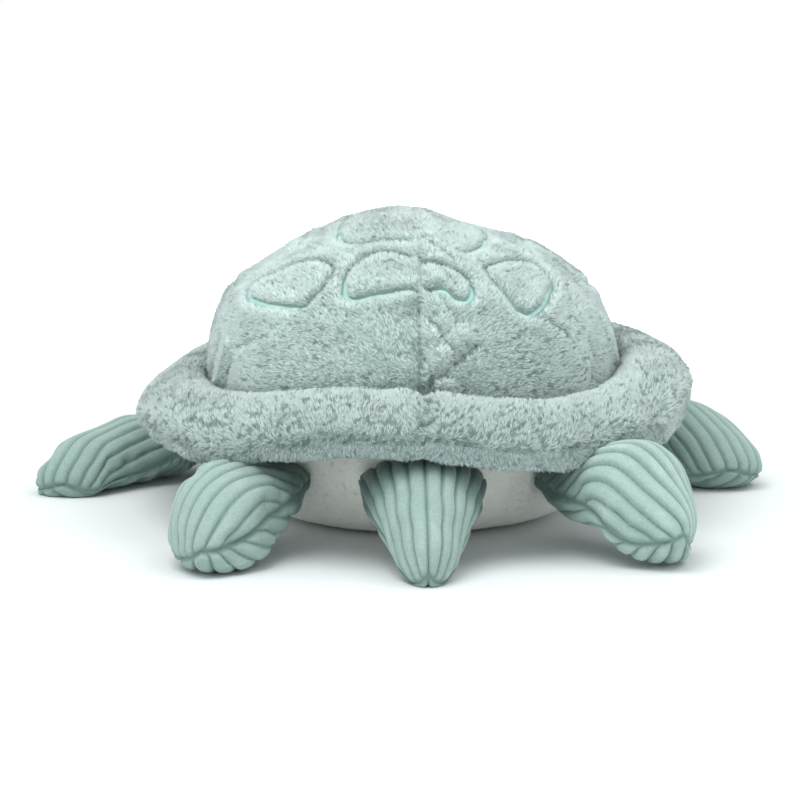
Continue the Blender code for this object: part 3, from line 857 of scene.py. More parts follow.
def fibre_filling(n):
    return dict(
        Base_Color=n.mottled(0.004, 4.0, 0.3, 0.7, FIBRE_LOW, FIBRE_HIGH),
        Normal=n.grain(0.0008, 4.0, 0.0006, 0.8),
        Roughness=1.0,
        Sheen_Weight=0.3,
    )


def eye_black(n):
    return dict(
        Base_Color=n.mottled(0.003, 2.0, 0.4, 0.6, EYE_LOW, EYE_HIGH),
        Roughness=n.spread(n.noise(0.002, 3.0), 0.3, 0.7, 0.10, 0.17),
        Coat_Weight=0.6,
        Coat_Roughness=0.06,
    )


def washer_plastic(n):
    return dict(
        Base_Color=n.mottled(0.003, 2.0, 0.4, 0.6, WASHER_LOW, WASHER_HIGH),
        Normal=n.grain(0.001, 2.0, 0.0001, 0.4),
        Roughness=0.45,
    )


def studio_floor(n):
    length = n.add("VectorMath", "Value", {0: n.place()}, operation="LENGTH")
    return dict(
        Base_Color=n.mottled(0.4, 2.0, 0.3, 0.7, FLOOR_LOW, FLOOR_HIGH),
        Roughness=0.9,
        Specular_IOR_Level=0.1,
        Emission_Color=WHITE,
        Emission_Strength=n.combine("MULTIPLY", n.seen_as_backdrop(), n.spread(length, *FLOOR_FADE)),
    )


# Fur: a backing with short hairs, gathered into small tufts


def comb_field(points, normals, lead, seed):
    """Unit directions along the cloth: lead, laid on it and turned about by noise."""
    flat = unit(lead - normals * np.sum(lead * normals, axis=-1, keepdims=True))
    turn = COMB_TURN * noise(points, COMB_TURN_SIZE, seed)[..., None]
    return flat * np.cos(turn) + np.cross(normals, flat) * np.sin(turn)


def fur(
    name, points, away, lead, seed, painted_light_and_shade, flecks, bald=None, hollow=None, length=HAIR_LENGTH, lean=HAIR_LEAN
):
    """One furred panel over a grid of backing points. lead is the way the pile is brushed.

    Next to lead and seed comes how much lighter each backing point is painted, painted light above 1 and
    painted shade below it; flecks holds how many dark flecks of painted shade there are, bald its distance
    from the nearest stitched channel, and hollow how far it lies in a fold, where it is painted darker as
    painted shade. A hair is a closed cone of three sides, so that none is seen from its back.
    """
    rng = np.random.default_rng(seed)
    rows, columns = points.shape[:2]
    normals, outward = grid_normals(points, away)
    quads = grid_quads(rows, columns, outward)
    a, b, c, d = (points.reshape(-1, 3)[quads[:, k]] for k in range(4))
    areas = np.linalg.norm(np.cross(c - a, d - b), axis=1) / 2
    count = int(areas.sum() * HAIRS_PER_SQUARE_METRE * (1.0))
    cell = rng.choice(len(quads), size=count, p=areas / areas.sum())
    u, v = rng.random((2, count, 1))

    def blend_of(values):
        flat = values.reshape(rows * columns, -1)[quads[cell]]
        return (flat[:, 0] * (1 - u) + flat[:, 1] * u) * (1 - v) + (flat[:, 3] * (1 - u) + flat[:, 2] * u) * v

    hollow = np.zeros((rows, columns)) if hollow is None else hollow
    fields = [blend_of(values) for values in (points, normals, lead, hollow, flecks, painted_light_and_shade)]
    if bald is not None:
        kept = blend_of(bald)[:, 0] > BALD_WIDTH * (1 - BALD_SPREAD / 2 + BALD_SPREAD * rng.random(count))
        fields = [field[kept] for field in fields]
    root, normal, lead_here, shade, flecked, hair_painted_light_and_shade = fields
    normal = unit(normal)
    count = len(root)
    comb = comb_field(root, normal, lead_here, seed)
    tufts = rng.choice(count, size=max(count // TUFT_HAIRS, 1), replace=False)
    tuft = tufts[nearest_distance(root, root[tufts])[1]]
    parted = (rng.random(count) < PARTED_SHARE)[tuft][:, None]
    # Whole tufts get dark flecks, painted shade where the pile opens
    fleck = noise((root + root[tuft]) / 2 @ np.array(FLECK_WAYS).T, FLECK_SIZE, 47)[:, None]
    fleck = fleck * FLECK_CONTRAST - FLECK_START + FLECK_GAIN * flecked
    shade = shade + FLECK_DEPTH * np.clip(fleck, 0, 1)
    lean = np.clip(rng.normal(lean, HAIR_LEAN_SPREAD, count), *HAIR_LEAN_LIMITS)[:, None]
    way = unit(comb + np.cross(normal, comb) * rng.normal(0, HAIR_WANDER_SPREAD, (count, 1)))
    reach = length * rng.uniform(*HAIR_LENGTH_SPREAD, (count, 1)) * np.where(parted, PARTED_REACH, 1.0)
    reach = reach * (1 - DARK_HAIR_CUT * np.clip(shade, 0, 1))
    own_tip = root + (way * np.cos(lean) + normal * np.sin(lean)) * reach
    tip = own_tip + (own_tip[tuft] + (root - root[tuft]) * TUFT_TIP_SIZE - own_tip) * TUFT_PULL
    lengthwise = unit(tip - root)
    first_way = unit(np.cross(lengthwise, normal + rng.normal(0, HAIR_TURN_SPREAD, (count, 3))))
    second_way = np.cross(lengthwise, first_way)
    turns = np.radians((0.0, 120.0, 240.0))[None, :, None]
    round_ways = first_way[:, None] * np.cos(turns) + second_way[:, None] * np.sin(turns)
    half = HAIR_WIDTH / 2 * rng.uniform(*HAIR_WIDTH_SPREAD, (count, 1, 1))
    feet = (root - normal * length * HAIR_FOOT)[:, None] + round_ways * half
    hair = np.concatenate((feet, tip[:, None]), axis=1).reshape(-1, 3)
    hair_normals = (normal[:, None] + round_ways * HAIR_ROUNDNESS, (normal + lengthwise * TIP_LEAN)[:, None])
    hair_normals = unit(np.concatenate(hair_normals, axis=1)).reshape(-1, 3)
    first = rows * columns + 4 * np.arange(count)[:, None]
    sides = [first + np.array(corners) for corners in ((0, 1, 3), (1, 2, 3), (2, 0, 3))]
    depth = rng.normal(0.0, HAIR_SHADE_SPREAD, (count, 1)) - PARTED_DEPTH * parted - shade
    piles = np.clip(np.array((FOOT_PILE, FOOT_PILE, FOOT_PILE, 1.0)) + depth, 0, MOST_PILE).ravel()
    piece = make_piece(
        name + "_pile",
        np.concatenate((points.reshape(-1, 3), hair)),
        quads.tolist() + np.concatenate(sides).tolist(),
        "fur",
        uv=np.concatenate((grid_uv(rows, columns, 0.0, BACKING_UV_END), hair_uv(count))),
        marks={
            "pile": np.concatenate((np.full(rows * columns, BACKING_PILE), piles)),
            "painted_light_and_shade": np.concatenate((painted_light_and_shade.ravel(), np.repeat(hair_painted_light_and_shade.ravel(), 4))),
        },
        normals=np.concatenate((normals.reshape(-1, 3), hair_normals)),
    )
    dress(piece, "torso", name)


def grid_uv(rows, columns, low=0.0, high=1.0):
    down = np.linspace(UV_MARGIN, 1 - UV_MARGIN, rows)
    across = np.linspace(low + UV_MARGIN, high - UV_MARGIN, columns)
    u, v = np.meshgrid(down, across, indexing="ij")
    return np.stack((u.ravel(), v.ravel()), axis=1)


def hair_uv(count):
    """A small cell of the upper half of the map for every hair, its tip in the middle."""
    across = int(math.ceil(math.sqrt(2 * count)))
    down = int(math.ceil(count / across))
    k = np.arange(count)
    corner = np.stack((k % across / across, 0.5 + 0.5 * (k // across) / down), axis=1)
    within = np.array(((0.1, 0.1), (0.9, 0.1), (0.5, 0.9), (0.5, 0.37)))
    return (corner[:, None] + within * np.array((1 / across, 0.5 / down))).reshape(-1, 2)


# Shell


def steps_for(length, step):
    return int(length / (step * 1.0)) + 2


def dome_points(side):
    """A grid over half the dome: rows from tail to head, columns from the seam down to the brim."""
    rows = steps_for(math.pi * DOME_HALF_LENGTH * 0.9, FUR_BASE_STEP)
    columns = steps_for(math.pi / 2 * DOME_HALF_WIDTH * 0.95, FUR_BASE_STEP)
    theta, phi = np.radians(np.linspace(-DOME_END, DOME_END, rows)), np.linspace(0, math.pi / 2, columns)
    theta, phi = np.meshgrid(theta, phi, indexing="ij")
    x = side * np.maximum(DOME_HALF_WIDTH * np.cos(theta) * np.sin(phi), 0.0)
    y = DOME_HALF_LENGTH * np.sin(theta)
    return np.stack((x, y, SHELL_SEAM_HEIGHT + DOME_HEIGHT * np.cos(theta) * np.cos(phi)), axis=2)


def dome_way_out(points):
    centre = np.array((0, 0, SHELL_SEAM_HEIGHT))
    return unit((points - centre) / np.array((DOME_HALF_WIDTH, DOME_HALF_LENGTH, DOME_HEIGHT)) ** 2)


def through(shares, closed):
    """A fine smooth line through points in plan."""
    control = np.array(shares)
    control = np.concatenate((control, control[:1])) if closed else control
    before = control[-2:-1] if closed else control[:1] * 2 - control[1:2]
    after = control[1:2] if closed else control[-1:] * 2 - control[-2:-1]
    control = np.concatenate((before, control, after))
    fine = []
    t = np.linspace(0, 1, 40, endpoint=False)[:, None]
    for p0, p1, p2, p3 in zip(control, control[1:], control[2:], control[3:]):
        bend = 2 * p0 - 5 * p1 + 4 * p2 - p3
        fine.append(0.5 * (2 * p1 + (p2 - p0) * t + bend * t**2 + (3 * p1 - p0 - 3 * p2 + p3) * t**3))
    return np.concatenate(fine + [control[-2:-1]])


def line_on_dome(shares, closed, step):
    """(points on the bare dome a step apart along a line, their distances along it)."""
    fine = through(shares, closed)
    rise = np.sqrt(1 - np.clip((fine**2).sum(axis=1), 0, 1))
    height = SHELL_SEAM_HEIGHT + DOME_HEIGHT * rise
    points = np.stack((DOME_HALF_WIDTH * fine[:, 0], DOME_HALF_LENGTH * fine[:, 1], height), axis=1)
    distance = arc_along(points)
    even = np.linspace(0, distance[-1], int(distance[-1] / step))
    return np.stack([np.interp(even, distance, points[:, k]) for k in range(3)], axis=1), even


def sway(points, across):
    """How far the shell rides up at points that lie a share across the brim."""
    turn = np.arctan2(points[..., 1] / DOME_HALF_LENGTH, np.abs(points[..., 0]) / DOME_HALF_WIDTH)
    sides = []
    for name in ("left", "right"):
        seam, edge = (smooth_share(table[name], turn / math.pi + 0.5) for table in (SEAM_SWAY, EDGE_SWAY))
        sides.append(seam + (edge - seam) * across)
    return np.where(points[..., 0] < 0, *sides)


def seam_sway(points):
    """The sway of the shell seam, which fades out over the cloth above and below it."""
    return sway(points, 0.0) * eased(1 - np.abs(points[..., 2] - SHELL_SEAM_HEIGHT) / SWAY_FADE)


def seam_ridge(points):
    """The puffy ridge to the right of the middle seam, towards the tail."""
    place = points[..., 1] / DOME_HALF_LENGTH
    puff = np.zeros(place.shape)
    slanted = place + RIDGE_SLANT * (points[..., 0] - RIDGE_PLACE) / DOME_HALF_LENGTH
    for upper, lower in zip(RIDGE_CREASES, RIDGE_CREASES[1:]):
        t = np.clip((upper - slanted) / (upper - lower), 0, 1)
        puff = np.maximum(puff, np.maximum(np.sin(math.pi * t), 0.0) ** RIDGE_PUFF_POWER)
    side = RIDGE_PLACE + lumps(points, RIDGE_WANDER, 4)
    wrinkle = RIDGE_PUFF + lumps(points * np.array((0.5, 1, 1)), RIDGE_WRINKLES, 5)
    ridge = RIDGE_HEIGHT * (puff * wrinkle - RIDGE_DIP) * hump(points[..., 0] - side, RIDGE_HALF_WIDTH)
    return ridge * (place < RIDGE_CREASES[0])


def dome_fullness(points):
    height = (points[..., 2] - SHELL_SEAM_HEIGHT) / DOME_HEIGHT
    share = np.arctan2(points[..., 0] / DOME_HALF_WIDTH, np.maximum(height, 0.0)) / math.pi + 0.5
    middle = np.clip(1 - ((points[..., 1] / DOME_HALF_LENGTH - FULLEST_PLACE) / FULLNESS_REACH) ** 2, 0, 1)
    return smooth_share(DOME_FULLNESS, share) * middle


def dome_relief(points, channel):
    """How far the stuffed dome stands out from its plain shape, at points on that shape."""
    seam = np.abs(points[..., 0])
    lumpy = lumps(points, DOME_LUMPS, 1) + lumps(points, DOME_SMALL_LUMPS, 2)
    pucker = noise(points * np.array((0.6, 1.0, 1.0)), DOME_PUCKER_SIZE, 3)
    low = np.clip(-points[..., 1] / DOME_HALF_LENGTH, 0, 1) ** 4
    seam_groove = -(DOME_SEAM_DEPTH + DOME_SEAM_TAIL_DEPTH * low) * hump(seam, DOME_SEAM_HALF_WIDTH)
    lip = DOME_SEAM_LIP * hump(seam - DOME_SEAM_LIP_PLACE, DOME_SEAM_LIP_HALF_WIDTH)
    seam_groove = seam_groove + lip * (0.4 + pucker)
    folds = 0.0
    for line, height, half_width in FOLDS:
        spots, _ = line_on_dome(line, False, FOLD_STEP)
        away = np.linalg.norm(points[..., None, :] - spots, axis=-1).min(axis=-1)
        folds = folds + height * hump(away, half_width)
    start, stretch = CHANNEL_FADE
    ahead = np.clip((points[..., 1] / DOME_HALF_LENGTH - start) / stretch, 0, 1)
    sewn = CHANNEL_LIP * hump(channel - CHANNEL_LIP_PLACE, CHANNEL_LIP_HALF_WIDTH)
    sewn = sewn - CHANNEL_DEPTH * (1 - FAR_CHANNEL_LOSS * ahead) * hump(channel, CHANNEL_HALF_WIDTH)
    nap_and_painted_light = lumps(points, DOME_NAP, 6)
    tuck = np.clip((points[..., 2] - SHELL_SEAM_HEIGHT) / TUCK_HEIGHT, 0, 1)
    return (lumpy + seam_groove + seam_ridge(points) + folds + dome_fullness(points)) * tuck + sewn + nap_and_painted_light


def brushed_up(points):
    """The way towards the shell's crown from its two ends."""
    return -np.tanh(points[..., 1:2] / CROWN_REACH) * np.array((0, 1, 0))


def closed_to_seam(points, side):
    """Moves a panel's points that lie past the middle seam back to it, where the two halves meet."""
    points[..., 0] = side * np.maximum(side * points[..., 0], SEAM_GAP / 2)


def over_seam(points, lead):
    """lead, turned the same way on both sides of the middle seam, so that the pile hides it."""
    near = hump(points[..., 0], SEAM_PILE_REACH)[..., None]
    return lead * (1 - near) + (brushed_up(points) * 0.5 - np.array((0.7, 0, 0))) * near


def ribbon_share(line):
    """How openly the stitches of a scute line show: its lower and tailward parts most."""
    outwards = unit(line - line.mean(axis=0))
    showing = np.clip(RIBBON_SHARE - RIBBON_SLOPE * outwards[:, 2], 0, 1)
    return showing * (line[:, 1] < RIBBON_END * DOME_HALF_LENGTH)


def make_dome(side_name, side, lines):
    plain = dome_points(side)
    spots = np.concatenate([line[::CHANNEL_STRIDE] for line in lines])
    channel, nearest = nearest_distance(plain, spots)
    showing = np.concatenate([ribbon_share(line)[::CHANNEL_STRIDE] for line in lines])[nearest]
    way_out = dome_way_out(plain)
    relief = dome_relief(plain, channel)
    points = plain + way_out * (relief - BACKING_DEPTH)[..., None]
    points[..., 2] += seam_sway(plain)
    closed_to_seam(points, side)
    lead = over_seam(plain, brushed_up(plain) * 0.8 + np.array((side * 0.35, 0, -0.1)))
    # Fur lying in a fold is painted darker and on a crest lighter: painted shade and painted light
    around = blurred(relief[..., None], FOLD_CELLS)[..., 0]
    hollow = np.clip((around - relief) / FOLD_DEPTH, CREST_SHADE, 1)
    # Most dark flecks of painted shade lie low on the dome's right side
    low = np.clip(0.6 + plain[..., 0] / FLECKED_WIDTH, 0, 1)
    low = low * hump(plain[..., 2] - FLECKED_HEIGHT, FLECKED_REACH)
    flecks = between(DOME_FLECKS, low)
    # The dome is painted lighter, painted light, a little all over and more to the left
    usual, lighter = DOME_PAINTED_LIGHT
    painted_light_and_shade = usual + lighter * np.clip((-plain[..., 0] - DOME_PAINTED_LIGHT_PLACE) / DOME_PAINTED_LIGHT_STRETCH, 0, 1)
    name = f"dome_cover_{side_name}"
    fur(name, points, way_out, lead, 11 + side, painted_light_and_shade, flecks, channel - RIBBON_SHOW * showing, hollow)


def brim_droop(turn):
    """How far the brim's outer edge lies below its inner one at turns from the toy's side."""
    front = BRIM_FRONT_LIFT * np.maximum(np.sin(turn), 0) ** 2
    return BRIM_OUTER_DROP + BRIM_SIDE_DROOP * np.cos(turn) ** 2 - front


def brim_place(side, turn, out, height):
    x, y = (DOME_HALF_WIDTH + out) * np.cos(turn), (DOME_HALF_LENGTH + out) * np.sin(turn)
    return np.stack((side * x, y, height), axis=2)


def brim_grid(side, upward):
    """(points, share across, part of the way, border) of one brim panel, from inner to outer seam."""
    rows = steps_for(math.pi * (SHELL_HALF_WIDTH + SHELL_HALF_LENGTH) / 2, FUR_BASE_STEP)
    columns = steps_for(BRIM_WIDTH * 1.25, FUR_BASE_STEP)
    turn, part = np.linspace(-math.pi / 2, math.pi / 2, rows), np.linspace(0, 1, columns)
    turn, part = np.meshgrid(turn, part, indexing="ij")
    border = np.radians(smooth_share(BORDER_TURNS["left" if side < 0 else "right"], turn / math.pi + 0.5))
    round_turn = part * (math.pi - border if upward else math.pi + border)
    across = (1 - np.cos(round_turn)) / 2
    above = np.where(np.sin(round_turn) < 0, -1, 1)
    bulge = np.where((above < 0) | upward, BRIM_RISE, BRIM_SAG)
    lift = bulge * np.abs(np.sin(round_turn)) ** BRIM_ROUNDNESS * above
    height = SHELL_SEAM_HEIGHT - brim_droop(turn) * across + (lift if upward else -lift)
    return brim_place(side, turn, BRIM_WIDTH * across, height), across, part, border


def make_brim(side_name, side, upward):
    plain, across, part, border = brim_grid(side, upward)
    away = np.broadcast_to(np.array((0, 0, 1.0 if upward else -1.0)), plain.shape)
    normals, _ = grid_normals(plain, away)
    seam = np.abs(plain[..., 0])
    from_border = (1 - part) * BRIM_WIDTH * BRIM_CLOTH
    edge = hump((1 - across) * BRIM_WIDTH, BRIM_PUCKER_REACH) + hump(across * BRIM_WIDTH, BRIM_PUCKER_REACH)
    relief = lumps(plain, BRIM_LUMPS, 25) + lumps(plain, BRIM_PUCKERS, 23 + upward) * edge
    seam_lip = BRIM_SEAM_LIP * hump(seam - BRIM_SEAM_LIP_PLACE, BRIM_SEAM_LIP_HALF_WIDTH)
    seam_groove = seam_lip - BRIM_SEAM_DEPTH * hump(seam, BRIM_SEAM_HALF_WIDTH)
    relief = relief + seam_groove * np.clip(1.6 - 3 * across, 0.25, 1) + lumps(plain, BRIM_NAP, 26)
    fade = np.minimum(np.minimum(part, 1 - part) * BRIM_WIDTH * BRIM_CLOTH / BRIM_FADE, 1)
    lip = BORDER_LIP * hump(from_border, BORDER_HALF_WIDTH) * np.minimum(border / BORDER_FULL_TURN, 1)
    points = plain + normals * (relief * fade + lip - BACKING_DEPTH * BRIM_BACKING_SHARE)[..., None]
    swayed = sway(plain, across) + lumps(plain, BRIM_WAVES, 22) * across
    if not upward:
        start, full, end = ROOM_STRETCH
        middle = np.clip(part / start, 0, 1) * np.clip((end - part) / (end - full), 0, 1)
        swayed = swayed + (LIMB_ROOM * np.maximum(-swayed, 0) + UNDER_LIFT) * eased(middle)
    points[..., 2] += swayed
    closed_to_seam(points, side)
    outwards = unit(plain * np.array((1, 1, 0)))
    down = np.array((0, 0, 0.9))
    brushed = (brushed_up(plain) - outwards) * 0.6 if upward else outwards * 0.4 - down
    lead = over_seam(plain, brushed + np.array((0.25, 0, 0)))
    if upward:
        near_border = hump(from_border, BORDER_PILE_REACH)[..., None]
        lead = lead * (1 - near_border) + (outwards * 0.5 - down) * near_border
    # The brim's steep part gets more dark flecks of painted shade
    steep = np.clip(3 * across - 0.6, 0, 1) * upward
    flecks = between(BRIM_FLECKS, steep)
    # The brim is painted darker, painted shade, more on its steep part and most near the middle seam
    painted_light_and_shade = 1 - (BRIM_PAINTED_SHADE + STEEP_PAINTED_SHADE * steep) * np.clip(1.2 - (plain[..., 0] / SHELL_HALF_WIDTH) ** 2, 0, 1)
    name = f"brim_{'top' if upward else 'under'}_panel_{side_name}"
    length, lean = (full * share for full, share in zip((HAIR_LENGTH, HAIR_LEAN), BRIM_PILES[upward]))
    fur(name, points, away, lead, 31 + 2 * upward + side, painted_light_and_shade, flecks, length=length, lean=lean)


def scute_lines():
    """Every scute outline on the bare dome, by name: (points, distances along it, whether it is closed)."""
    lines = {}
    for kind, (closed, left, *right) in SCUTES.items():
        right = right[0] if right else [(-x, y) for x, y in left]
        for side_name, shares in (("left", left), ("right", right)):
            lines[f"scute_outline_{kind}_{side_name}"] = (*line_on_dome(shares, closed, STITCH_STEP), closed)
    return lines


def make_scute(name, line, distance, closed):
    """A band of satin stitch on the floor of its channel."""
    way_out = dome_way_out(line)
    rise = STITCH_RISE * ribbon_share(line) - STITCH_DEPTH
    relief = dome_relief(line, np.zeros(len(line)))
    centre = line + way_out * (relief - BACKING_DEPTH + rise)[:, None]
    centre[:, 2] += seam_sway(line)
    aside = unit(np.cross(way_out, unit(np.gradient(centre, axis=0))))
    turns = np.linspace(0, math.pi, STITCH_COLUMNS)[None, :, None]
    ridge = 1 + STITCH_WAVE * np.cos(2 * math.pi * distance / STITCH_PITCH)
    from_end = np.minimum(distance, distance[-1] - distance)
    ends = 1.0 if closed else np.clip(from_end / STITCH_END, 0.05, 1)
    height = (STITCH_HEIGHT * ridge * ends)[:, None, None]
    points = centre[:, None] + aside[:, None] * STITCH_HALF_WIDTH * np.cos(turns)
    points = points + way_out[:, None] * height * np.sin(turns)
    _, outward = grid_normals(points, np.broadcast_to(way_out[:, None], points.shape))
    dress(make_sheet(name + "_stitches", points, outward, "satin"), "torso", name)


# Belly


def belly_reach(height_share):
    rest = (1 - (1 - height_share) ** BELLY_CURVE_POWER) ** (1 / BELLY_CURVE_POWER)
    return BELLY_FLAT_SHARE + (1 - BELLY_FLAT_SHARE) * rest


def belly_grid(inset, step):
    """A grid round the belly: rows from the middle of the flat out and up to the shell seam."""
    perimeter = math.pi * (DOME_HALF_WIDTH + DOME_HALF_LENGTH)
    columns = steps_for(perimeter, step)
    turn = np.linspace(0, 2 * math.pi, columns, endpoint=False)
    flat_rows = steps_for(DOME_HALF_WIDTH * BELLY_FLAT_SHARE, step * 3)
    wall_rows = steps_for(BELLY_WALL, step)
    share = np.linspace(0, 1, wall_rows)
    height_share = 1 - np.cos(math.pi / 2 * share)
    reach = np.concatenate((np.linspace(0.01, BELLY_FLAT_SHARE, flat_rows)[:-1], belly_reach(height_share)))
    height = np.concatenate((np.zeros(flat_rows - 1), height_share))
    x = (DOME_HALF_WIDTH - inset) * reach[:, None] * np.cos(turn)
    y = (DOME_HALF_LENGTH - inset) * reach[:, None] * np.sin(turn)
    z = inset + (SHELL_SEAM_HEIGHT - inset) * height[:, None] + 0 * x
    return np.stack((x, y, z), axis=2)


def make_belly():
    plain = belly_grid(0.0, BELLY_STEP)
    away = plain - np.array((0, 0, SHELL_SEAM_HEIGHT))
    normals, outward = grid_normals(plain, away)
    wall = np.clip(plain[..., 2] / BELLY_TUCK, 0, 1)
    relief = lumps(plain, BELLY_LUMPS, 41) + lumps(plain * np.array((1, 1, 0.45)), BELLY_CREASES, 42)
    depth, size = BELLY_DIMPLES
    dimples = depth * np.clip(noise(plain * np.array((0.4, 0.4, 1)), size, 44) - DIMPLE_START, 0, 1)
    relief = relief + lumps(plain, BELLY_NAP, 43) - dimples
    points = plain + normals * (wall * relief - BELLY_DEPTH)[..., None]
    points[..., 2] = np.maximum(points[..., 2] + seam_sway(plain), LOWEST_BELLY)
    piece = make_sheet("belly_panel_plush", points, outward, "belly", closed=True)
    dress(piece, "torso", "belly_panel")


# Limbs


class Limb:
    """Where a sewn limb lies, over many points at once."""

    def __init__(self, name):
        self.name = name
        self.shape = shape = {**LIMB_DEFAULTS, **LIMBS[name]}
        turn = math.radians(shape["root_turn"])
        wall = np.array((DOME_HALF_WIDTH * math.cos(turn), DOME_HALF_LENGTH * math.sin(turn)))
        self.out = unit(np.array((math.cos(turn) / DOME_HALF_WIDTH, math.sin(turn) / DOME_HALF_LENGTH)))
        along = np.array((-self.out[1], self.out[0]))
        hinge = self.out * self.root_reach(wall @ self.out) + along * (wall @ along)
        self.hinge = np.array((hinge[0] * shape["side"], hinge[1], shape["root_height"]))
        first = math.atan2(self.out[1], self.out[0])
        share = (np.arange(PATH_STEPS) + 0.5) / PATH_STEPS
        heading = first + math.radians(shape["sweep"]) * smooth_share(shape["sweep_shares"], share)
        step = shape["length"] / PATH_STEPS
        start = hinge - self.out * shape["root_half_thickness"]
        path = np.cumsum(np.stack((np.cos(heading), np.sin(heading)), axis=1) * step, axis=0) + start
        self.path = np.concatenate((start[None], path))
        self.heading = np.concatenate(((first,), heading))
        self.place = np.linspace(0, shape["length"], PATH_STEPS + 1)

    def root_reach(self, wall):
        radius, height = self.shape["root_half_thickness"], self.shape["root_height"]
        up = radius * np.linspace(-1, 1, ROOT_STEPS + 1)
        level = np.minimum((height + up) / SHELL_SEAM_HEIGHT, 1.0)
        return (wall * belly_reach(level) + np.sqrt(np.maximum(radius**2 - up**2, 0.0))).max() + ROOT_CLEARANCE

    def stations(self, step):
        """Distances from the root, closer together where the two ends round off."""
        length, root, tip = (self.shape[k] for k in ("length", "root_half_thickness", "tip_round"))
        near = root * (1 - np.cos(np.linspace(0.03, math.pi / 2, steps_for(root * 1.5, step))))
        far = length - tip * (1 - np.cos(np.linspace(math.pi / 2, TIP_CLOSE, steps_for(tip * 1.5, step))))
        between = np.linspace(root, length - tip, steps_for(length - tip - root, step))
        return np.concatenate((near[:-1], between, far[1:]))

    def columns(self, step):
        """Round turns from seam to seam, evenly spaced along the limb's middle section."""
        a = np.linspace(0, math.pi, SECTION_STEPS + 1)
        wide, thick = self.shape["half_width"], self.shape["half_thickness"]
        section = np.stack((wide * np.cos(a), thick * np.sin(a) ** SECTION_POWER), axis=1)
        arc = arc_along(section)
        return np.interp(np.linspace(0, arc[-1], steps_for(arc[-1], step)), arc, a)

    def skin(self, distance, round_turn, inset, facing):
        """(points, points of the middle line) at distances and round turns of the same shape."""
        shape = self.shape
        share = distance / shape["length"]
        width = shape["half_width"] * smooth_share(shape["width_shares"], share) - inset
        thickness = shape["half_thickness"] * smooth_share(shape["thickness_shares"], share) - inset
        height = shape["root_height"] * smooth_share(shape["height_shares"], share)
        root, tip = shape["root_half_thickness"], shape["tip_round"]
        near = np.clip(1 - distance / root, 0.0, 1.0)
        far = np.clip(1 - (shape["length"] - distance) / tip, 0.0, 1.0)
        root_round, tip_round = np.sqrt(1 - near**2), np.sqrt(1 - far**2)
        if shape["upright_seam"]:
            width, thickness = width * root_round * tip_round, thickness * root_round * tip_round
        else:
            thickness = thickness + (root - inset - thickness) * np.minimum(2 * near, 1.0)
            width, thickness = width * tip_round, thickness * root_round * tip_round
        seam_drop = thickness * smooth_share(shape["seam_drop_shares"], share)
        turned = facing * round_turn + math.radians(shape["seam_turn"]) * smooth_share(ROLL_SHARES, share)
        side = np.where(np.sin(turned) >= 0, 1.0, -1.0)
        wide = width * np.cos(turned)
        high = (side * thickness + seam_drop) * np.abs(np.sin(turned)) ** SECTION_POWER
        roll = math.radians(shape["roll"]) * smooth_share(ROLL_SHARES, share)
        wide, high = wide * np.cos(roll) - high * np.sin(roll), wide * np.sin(roll) + high * np.cos(roll)
        height = height - seam_drop
        moved = inset + distance * (1 - 2 * inset / shape["length"])
        x, y, heading = (np.interp(moved, self.place, v) for v in (*self.path.T, self.heading))
        sideways = np.stack((-np.sin(heading), np.cos(heading), np.zeros_like(heading)), axis=-1)
        up = np.broadcast_to(np.array((0, 0, 1.0)), sideways.shape)
        across, over = (up, -sideways) if shape["upright_seam"] else (sideways, up)
        centre = np.stack((x, y, height), axis=-1)
        points = centre + across * wide[..., None] + over * high[..., None]
        points[..., 2] = np.maximum(points[..., 2], inset)
        mirror = np.array((shape["side"], 1, 1))
        return points * mirror, centre * mirror

    def sheet(self, step, inset, facing):
        distance, round_turn = np.meshgrid(self.stations(step), self.columns(step), indexing="ij")
        return (*self.skin(distance, round_turn, inset, facing), distance)

    def tube(self, step, inset):
        """(rows of points right round the limb, its middle line at each, distances, columns of a panel)."""
        (over, centre, distance), (under, _, _) = (self.sheet(step, inset, facing) for facing in (1, -1))
        ring = np.concatenate((over, under[:, -2:0:-1]), axis=1)
        middle = np.concatenate((centre, centre[:, -2:0:-1]), axis=1)
        return ring, middle, distance, over.shape[1]

    def root_span(self):
        """Two points: one its root half thickness in from the limb's hinge towards the body, and one a share
        of that outwards from it.
        """
        out = np.array((self.out[0] * self.shape["side"], self.out[1], 0))
        root = self.shape["root_half_thickness"]
        return tuple(self.hinge - out * root), tuple(self.hinge + out * root * ROOT_SPAN)


def wales(points, angle):
    """(height of the rounded wales from 0 to 1, distance from the nearer side seam, distance along)."""
    across = arc_along(points, 1)
    middle = points.shape[1] // 2
    edge = np.minimum(across, across[:, -1:] - across)
    along = arc_along(points)[:, middle : middle + 1] + 0 * across
    turn = math.radians(angle)
    place = (across - across[:, middle : middle + 1]) * math.cos(turn) + along * math.sin(turn)
    return 1 - np.abs(2 * ((place / WALE_PITCH) % 1.0) - 1) ** WALE_POWER, edge, along


